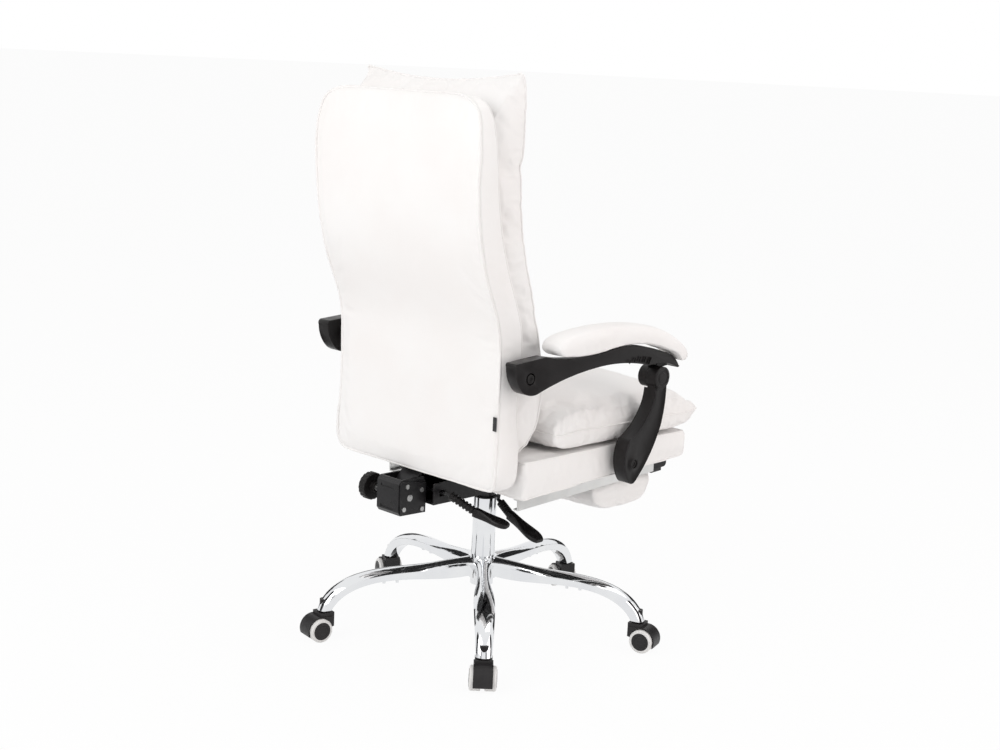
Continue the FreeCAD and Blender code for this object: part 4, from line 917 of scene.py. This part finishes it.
@dataclass
class Seat:
    """The boxed lower cushion and the loose crowned pillow on it."""

    frame: dict
    front: float = -368.0
    rear: float = 149.5
    half: float = 250.0
    top: float = 441.4
    slope: float = 2.5
    deck: float = 381.0
    pillow_side: tuple[tuple[float, float, float], ...] = (
        (-401, 249, 486), (-384.7, 255, 483), (-345, 254, 481), (-237.6, 251, 481.7),
        (-97.5, 250, 482.7), (19.3, 253, 482.7), (52, 255, 481.7), (66, 247, 484),
    )

    def _box_edge(self, upper: bool) -> list[Vector]:
        """Runs round the boxed cushion's upper or lower edge.

        Args:
            upper: Whether it is the upper edge.

        Returns:
            A closed row of points.
        """
        inset, ends = 2.0, 5.0
        wide = self.half - inset
        side = [(wide - 8, self.front + ends), (wide - 1, self.front + 22), (wide - 3, -110),
                (wide - 1, self.rear - 22), (wide - 8, self.rear - ends)]
        ring = [*side, (0, self.rear - inset), *((-x, y) for x, y in reversed(side)),
                (0, self.front + inset)]
        level = math.tan(math.radians(self.slope))
        return [Vector((x, y, self.top if upper else self.deck - (y - self.front) * level))
                * MM for x, y in ring]

    def _pillow_edge(self) -> list[Vector]:
        """Runs round the pillow's ear."""
        side = [Vector((x, y, z)) * MM for y, x, z in self.pillow_side]
        rear = [Vector((x, 66, 484)) * MM for x in (120, 0, -120)]
        front = [Vector((x, -401, 486)) * MM for x in (-120, 0, 120)]
        return side + rear + mirrored(side) + front

    def _folds(self) -> list[Seam]:
        """Lists the creases at the pillow's rear corners, where the back presses on it."""
        folds = []
        for side, hand in SIDES:
            for index, path in enumerate((
                    ((252, 54, 470), (247, 44, 505), (226, 26, 530), (196, 0, 548)),
                    ((252, 24, 488), (245, 12, 512), (224, -6, 530)),
                    ((252, 60, 452), (252, 30, 462), (252, -20, 458)),
                    ((250, -60, 492), (240, -74, 514), (215, -86, 532)))):
                folds.append(Seam("seat_pillow_fold_%s_%d" % (hand, index),
                                  [Vector((side * x, y, z)) * MM for x, y, z in path],
                                  groove=0.0044, reach=0.013))
        return folds

    def build(self) -> list[Obj]:
        """Builds and returns both cushions."""
        box = Upholstery(
            self.frame, "seat_cushion", "seat_cushion_cover", "seat", 0.0062,
            [Seam("seat_cushion_top_welt", self._box_edge(True), closed=True, welt=0.0018,
                  groove=0.0014, reach=0.009, pucker=0.0008),
             Seam("seat_cushion_low_welt", self._box_edge(False), closed=True, welt=0.0018,
                  groove=0.0014, reach=0.009, pucker=0.0008)],
            ["seat_pillow", "seat_board", "tilt_frame", "footrest_rails", "back_shell",
             "arm_link_right", "arm_link_left", "seat_bolts"],
            pressure=4.0, slack=0.012, inset=0.003, proud=0.002, cap=0.008, fill=0.85).build()
        pillow = Upholstery(
            self.frame, "seat_pillow", "seat_pillow_cover", "seat", 0.0052,
            [Seam("seat_pillow_ear_welt", self._pillow_edge(), closed=True, welt=0.002,
                  groove=0.0008, reach=0.008, pucker=0.0028), *self._folds()],
            ["seat_cushion", "back_overlay", "back_shell", "arm_link_right", "arm_link_left"],
            pressure=5.0, slack=0.04, inset=0.004, proud=0.003, cap=0.014, fill=0.6).build()
        return [box, pillow]


@dataclass
class Armrests:
    """The crowned pads on the black arms."""

    frame: dict

    def build(self) -> list[Obj]:
        """Builds and returns a pad for each arm."""
        pads = []
        for side in ("right", "left"):
            pads.append(Upholstery(
                self.frame, "arm_pad_" + side, "arm_pad_%s_cover" % side, "arm_" + side,
                0.004, [], ["arm_frame_" + side], pressure=4.0, slack=0.01, inset=0.002,
                proud=0.001, cap=0.005, soften=5, fill=0.85).build())
        return pads


@dataclass
class MouldedArms:
    """The black arms and links, with the soft edges of a moulding."""

    frame: dict
    edge: float = 0.0022
    crisp: float = 38.0
    rim: float = 0.0060
    sink: float = 0.0030

    def _rim(self, piece: Obj, side: int) -> None:
        """Sinks the outer face inside a raised rim.

        Args:
            piece: The moulding.
            side: -1 for the sitter's right and 1 for the left.
        """
        for face in piece.data.polygons:
            face.select = face.normal.x * side > 0.98 and abs(face.center.x) > 0.2935
        with editing():
            bpy.ops.mesh.select_mode(type="FACE")
            bpy.ops.mesh.inset(thickness=self.rim, depth=-self.sink)

    def build(self) -> list[Obj]:
        """Builds and returns both arms and both links, with rounded edges."""
        made = []
        for part in ("arm_frame_", "arm_link_"):
            for hand in ("right", "left"):
                piece = copy_of(self.frame["nodes"][part + hand], part + "moulding_" + hand)
                clean_normals(piece)
                with editing():
                    bpy.ops.mesh.select_all(action="SELECT")
                    bpy.ops.mesh.dissolve_limited(angle_limit=math.radians(1.5))
                self._rim(piece, -1 if hand == "right" else 1)
                apply_modifier(piece, "BEVEL", width=self.edge, segments=3,
                               limit_method="ANGLE", angle_limit=math.radians(self.crisp),
                               use_clamp_overlap=True)
                apply_modifier(piece, "TRIANGULATE")
                smooth_shaded(piece, 30)
                body = ("arm_" if part == "arm_frame_" else "link_") + hand
                dress(piece, PLASTIC, body)
                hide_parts(part + hand)
                made.append(piece)
        return made


@dataclass
class Knuckles:
    """The drums of the armrests' front pivots, and the ribs in the arms' hollow beside them."""

    back: float = -0.209
    level: float = 0.581
    radius: float = 0.0236
    halves: tuple[tuple[str, float, float], ...] = (("link_", 0.2965, 0.2708),
                                                    ("arm_", 0.2694, 0.2500))
    steps: Steps = ((0.0016, 0.0012), (0.0042, 0.0003), (0.0008, -0.0016), (0.0052, 0.0),
                    (0.0008, 0.0012), (0.003, 0.0003))
    rib_backs: tuple[float, ...] = (-0.166, -0.150, -0.134, -0.118, -0.102)

    def _drum(self, name: str, side: int, outer: float, inner: float) -> Obj:
        """Builds one half of a pivot's drum.

        Args:
            name: The piece's name.
            side: -1 for the sitter's right and 1 for the left.
            outer: How far out its outer face is.
            inner: How far out its inner face is.

        Returns:
            The drum.
        """
        drum = stepped_disc(64, self.radius, outer - inner, self.steps)
        drum.name = name
        seat_at(drum, Vector((side * ((outer + inner) / 2 - 0.0009), self.back, self.level)),
                Vector((side, 0, 0)), 32)
        return drum

    def _ribs(self, side: int, hand: str) -> Obj:
        """Builds the slanted ribs along the arm's lower edge.

        Args:
            side: -1 for the sitter's right and 1 for the left.
            hand: The side's name.

        Returns:
            The ribs as one piece.
        """
        deselect_all()
        bpy.ops.mesh.primitive_cube_add(size=1.0, location=(0, 0, 0))
        first = bpy.context.object
        with editing():
            bpy.ops.transform.resize(value=(0.0044, 0.0026, 0.0155))
            bpy.ops.mesh.bevel(offset=0.0006, segments=2)
        copies = []
        for index, back in enumerate(self.rib_backs):
            share = index / (len(self.rib_backs) - 1)
            rib = copy_of(first, "rib")
            size = 1.0 - 0.45 * share
            lean = Matrix.Rotation(math.radians(28), 4, "X")
            level = self.level + 0.0405 + 0.0065 * math.sin(math.pi * min(1.0, share * 0.8))
            rib.data.transform(Matrix.Translation(Vector((side * 0.2943, back, level)))
                               @ lean @ Matrix.Scale(size, 4))
            copies.append(rib)
        bpy.data.objects.remove(first)
        deselect_all()
        for rib in copies:
            rib.select_set(True)
        bpy.context.view_layer.objects.active = copies[0]
        bpy.ops.object.join()
        ribs = bpy.context.object
        ribs.name = "arm_ribs_" + hand
        smooth_shaded(ribs, 32)
        return ribs

    def build(self) -> list[Obj]:
        """Builds and returns the drums and ribs of both arms."""
        made = []
        for side, hand in SIDES:
            for part, outer, inner in self.halves:
                drum = self._drum(part + "drum_" + hand, side, outer, inner)
                made.append(dress(drum, PLASTIC, part + hand))
            made.append(dress(self._ribs(side, hand), PLASTIC, "arm_" + hand))
        return made


@dataclass
class Footrest:
    """The calf pad that folds out from under the seat."""

    frame: dict

    def build(self) -> list[Obj]:
        """Builds and returns the calf pad."""
        low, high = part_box("footrest_pad")
        x, y0, y1, z = high.x - 0.006, low.y + 0.004, high.y - 0.004, (low.z + high.z) / 2
        ring = [Vector((x, y0 + 0.012, z)), Vector((x, y1 - 0.012, z)),
                Vector((x - 0.02, y1, z)), Vector((-x + 0.02, y1, z)),
                Vector((-x, y1 - 0.012, z)), Vector((-x, y0 + 0.012, z)),
                Vector((-x + 0.02, y0, z)), Vector((x - 0.02, y0, z))]
        pad = Upholstery(
            self.frame, "footrest_pad", "footrest_pad_cover", "footrest_flap", 0.0046,
            [Seam("footrest_pad_seam", ring, closed=True, groove=0.0016, reach=0.01,
                  pucker=0.0016)],
            ["footrest_board", "footrest_frame", "seat_board", "seat_cushion",
             "footrest_rails"],
            pressure=4.0, slack=0.02, inset=0.003, proud=0.0015, cap=0.008, fill=0.75).build()
        return [pad]


@dataclass
class CasterCaps:
    """The dark domed caps in the wheels."""

    frame: dict
    radius: float = 0.0188
    rise: float = 0.0016
    steps: Steps = ((0.0012, 0.0006), (0.004, 0.0), (0.0007, -0.0006), (0.0016, 0.0),
                    (0.0007, 0.0006), (0.004, 0.0004))

    def build(self) -> list[Obj]:
        """Builds one cap, copies it to every wheel and returns the caps."""
        first = stepped_disc(56, self.radius, self.rise, self.steps)
        made = []
        for joint in self.frame["joints"]:
            if not joint["name"].endswith("_roll"):
                continue
            body = joint["child"]
            node = "caster_" + body.replace("wheel_", "")[:-2] + "_wheel_" + body[-1]
            anchor, axis = Vector(joint["pos_m"]), Vector(joint["axis"]).normalized()
            reach = [(v.co - anchor).dot(axis) for v in self.frame["nodes"][node].data.vertices]
            outward = axis if max(reach) > -min(reach) else -axis
            face_at = max(abs(min(reach)), abs(max(reach)))
            cap = copy_of(first, node.replace("_wheel_", "_cap_"))
            seat_at(cap, anchor + outward * (face_at - 0.0007), outward, 30)
            made.append(dress(cap, CASTER, body))
        bpy.data.objects.remove(first)
        LOG.info("wheel caps: %d", len(made))
        return made


@dataclass
class BoltPlugs:
    """The black plugs over the bolts at the arms' rear ends and the links' feet."""

    radius: float = 0.0091
    depth: float = 0.0034
    face: float = 0.2913
    steps: Steps = ((0.0007, 0.0006), (0.0022, 0.0004), (0.0014, 0.0), (0.0004, -0.0016))
    places: tuple[tuple[str, float, float], ...] = (("arm_", 0.187, 0.620),
                                                    ("link_", -0.137, 0.406))

    def build(self) -> list[Obj]:
        """Builds one plug, copies it to each bolt and returns the plugs."""
        first = stepped_disc(48, self.radius, self.depth, self.steps)
        made = []
        for side, hand in SIDES:
            for part, back, level in self.places:
                plug = copy_of(first, part + "plug_" + hand)
                seat_at(plug, Vector((side * (self.face - self.depth / 2), back, level)),
                        Vector((side, 0, 0)), 30)
                made.append(dress(plug, PLASTIC, part + hand))
        bpy.data.objects.remove(first)
        return made


@dataclass
class Studio:
    """A plain pale floor, soft light and a camera at the photograph's angle."""

    place: tuple[float, float, float] = (-2.32442, 2.35908, 1.20863)
    target: tuple[float, float, float] = (-0.0137, -0.0132, 0.5597)
    roll: float = 2.753
    lens: float = 57.242
    floor_reach: float = 400.0

    def build(self) -> None:
        """Builds the floor, the lamps, the world and the camera."""
        self._floor()
        self._world()
        self._lamp("key_light", (0.2, 3.6, 2.3), 3.0, 74.0, (1.0, 1.0, 0.996))
        self._lamp("fill_light", (-3.4, -1.2, 1.5), 2.8, 42.0, (1.0, 0.945, 0.925))
        self._lamp("top_light", (-0.4, -1.2, 3.6), 2.6, 25.0, (1.0, 0.985, 0.975))
        self._cards()
        self._camera()

    def _see_through(self, tree: Tree) -> Socket:
        """Adds a test that is one for rays of the camera or a mirror, and zero otherwise."""
        path = tree.nodes.new("ShaderNodeLightPath")
        either = tree.nodes.new("ShaderNodeMath")
        either.operation = "MAXIMUM"
        tree.links.new(path.outputs["Is Camera Ray"], either.inputs[0])
        tree.links.new(path.outputs["Is Glossy Ray"], either.inputs[1])
        return either.outputs[0]

    def _floor(self) -> None:
        """Builds the pale floor, which keeps a soft shadow."""
        deselect_all()
        bpy.ops.mesh.primitive_plane_add(size=self.floor_reach, location=(0, 0, -0.0005))
        floor = bpy.context.object
        floor.name = "studio_floor"
        with editing():
            bpy.ops.mesh.subdivide(number_cuts=3)
        pale = bpy.data.materials.new("pale_floor")
        tree, out = emptied(pale, "ShaderNodeOutputMaterial")
        mix = tree.nodes.new("ShaderNodeMixShader")
        matt = tree.nodes.new("ShaderNodeBsdfDiffuse")
        matt.inputs["Color"].default_value = (0.88, 0.88, 0.88, 1.0)
        glow = tree.nodes.new("ShaderNodeEmission")
        glow.inputs["Color"].default_value = (1.0, 1.0, 1.0, 1.0)
        share = tree.nodes.new("ShaderNodeMath")
        share.operation = "MULTIPLY"
        share.inputs[1].default_value = GLOW_SHARE
        tree.links.new(self._see_through(tree), share.inputs[0])
        tree.links.new(share.outputs[0], mix.inputs["Fac"])
        tree.links.new(matt.outputs[0], mix.inputs[1])
        tree.links.new(glow.outputs[0], mix.inputs[2])
        tree.links.new(mix.outputs[0], out.inputs["Surface"])
        floor.data.materials.append(pale)

    def _world(self) -> None:
        """Builds the white surround."""
        world = bpy.data.worlds.new("white_surround")
        bpy.context.scene.world = world
        tree, out = emptied(world, "ShaderNodeOutputWorld")
        mix = tree.nodes.new("ShaderNodeMixShader")
        room = tree.nodes.new("ShaderNodeBackground")
        room.inputs["Color"].default_value = (1.0, 0.99, 0.985, 1.0)
        room.inputs["Strength"].default_value = ROOM_STRENGTH
        white = tree.nodes.new("ShaderNodeBackground")
        white.inputs["Color"].default_value = (1.0, 1.0, 1.0, 1.0)
        tree.links.new(self._see_through(tree), mix.inputs["Fac"])
        tree.links.new(room.outputs[0], mix.inputs[1])
        tree.links.new(white.outputs[0], mix.inputs[2])
        tree.links.new(mix.outputs[0], out.inputs["Surface"])

    def _lamp(self, name: str, place: tuple[float, float, float], size: float, power: float,
              colour: tuple[float, float, float]) -> None:
        """Hangs a large soft lamp that points at the chair.

        Args:
            name: The lamp's name.
            place: Where it hangs.
            size: The side of its square, in metres.
            power: Its power in watts.
            colour: Its colour.
        """
        deselect_all()
        bpy.ops.object.light_add(type="AREA", location=place)
        lamp = bpy.context.object
        lamp.name = name
        lamp.data.shape = "SQUARE"
        lamp.data.size = size
        lamp.data.energy = power
        lamp.data.color = colour
        lamp.rotation_mode = "QUATERNION"
        aim = Vector(LAMP_AIM) - Vector(place)
        lamp.rotation_quaternion = aim.to_track_quat("-Z", "Y")

    def _cards(self) -> None:
        """Stands dark cards at the sides, which only the chrome mirrors."""
        dark = bpy.data.materials.new("dark_card")
        dark.use_nodes = True
        skin = dark.node_tree.nodes["Principled BSDF"]
        skin.inputs["Base Color"].default_value = (0.012, 0.012, 0.013, 1.0)
        skin.inputs["Roughness"].default_value = 0.9
        for index, (turn, away, wide, low, high) in enumerate((
                (294, 0.95, 0.34, 0.0, 0.75), (154, 0.95, 0.34, 0.0, 0.75),
                (344, 0.95, 0.5, 0.0, 0.6), (104, 0.95, 0.5, 0.0, 0.6),
                (250, 2.6, 0.45, 0.3, 1.4), (196, 2.6, 0.45, 0.3, 1.4),
                (20, 2.6, 1.4, 0.0, 0.7), (60, 2.6, 0.8, 0.1, 0.9))):
            angle = math.radians(turn)
            spot = Vector((math.sin(angle) * away, -math.cos(angle) * away, (low + high) / 2))
            deselect_all()
            bpy.ops.mesh.primitive_plane_add(size=1.0, location=spot,
                                             rotation=(math.pi / 2, 0, angle))
            card = bpy.context.object
            card.name = "dark_card_%d" % index
            card.scale = (wide, high - low, 1.0)
            card.data.materials.append(dark)
            card.visible_camera = False
            card.visible_diffuse = False
            card.visible_shadow = False

    def _camera(self) -> None:
        """Sets the camera."""
        deselect_all()
        bpy.ops.object.camera_add(location=self.place)
        camera = bpy.context.object
        camera.name = "photo_camera"
        camera.data.lens = self.lens
        camera.data.sensor_width = 36.0
        camera.rotation_mode = "QUATERNION"
        aim = Vector(self.target) - Vector(self.place)
        spin = Quaternion((0.0, 0.0, 1.0), math.radians(self.roll))
        camera.rotation_quaternion = aim.to_track_quat("-Z", "Y") @ spin
        bpy.context.scene.camera = camera


def finish_solids(frame: dict) -> None:
    """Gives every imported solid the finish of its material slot.

    Args:
        frame: The loaded frame.
    """
    for name, node in frame["nodes"].items():
        for slot in node.material_slots:
            key = slot.material.name.split(".")[0] if slot.material else ""
            finish = NODE_FINISHES.get(name, SLOT_FINISHES.get(key))
            if finish is None:
                LOG.warning("%s has an unknown slot %s", name, key)
                continue
            slot.material = finish.material()


def main() -> None:
    """Builds the chair's looks in order and reports each piece."""
    logging.basicConfig(level=logging.INFO, format="%(name)s: %(message)s")
    bpy.ops.object.select_all(action="SELECT")
    bpy.ops.object.delete()
    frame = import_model()
    bpy.context.scene.view_settings.view_transform = "Standard"
    finish_solids(frame)
    for group in (Backrest(frame), Seat(frame), Armrests(frame), MouldedArms(frame),
                  Knuckles(), Footrest(frame), CasterCaps(frame), BoltPlugs()):
        for piece in group.build():
            LOG.info("built %s", piece.name)
    Studio().build()


if __name__ == "__main__":
    main()
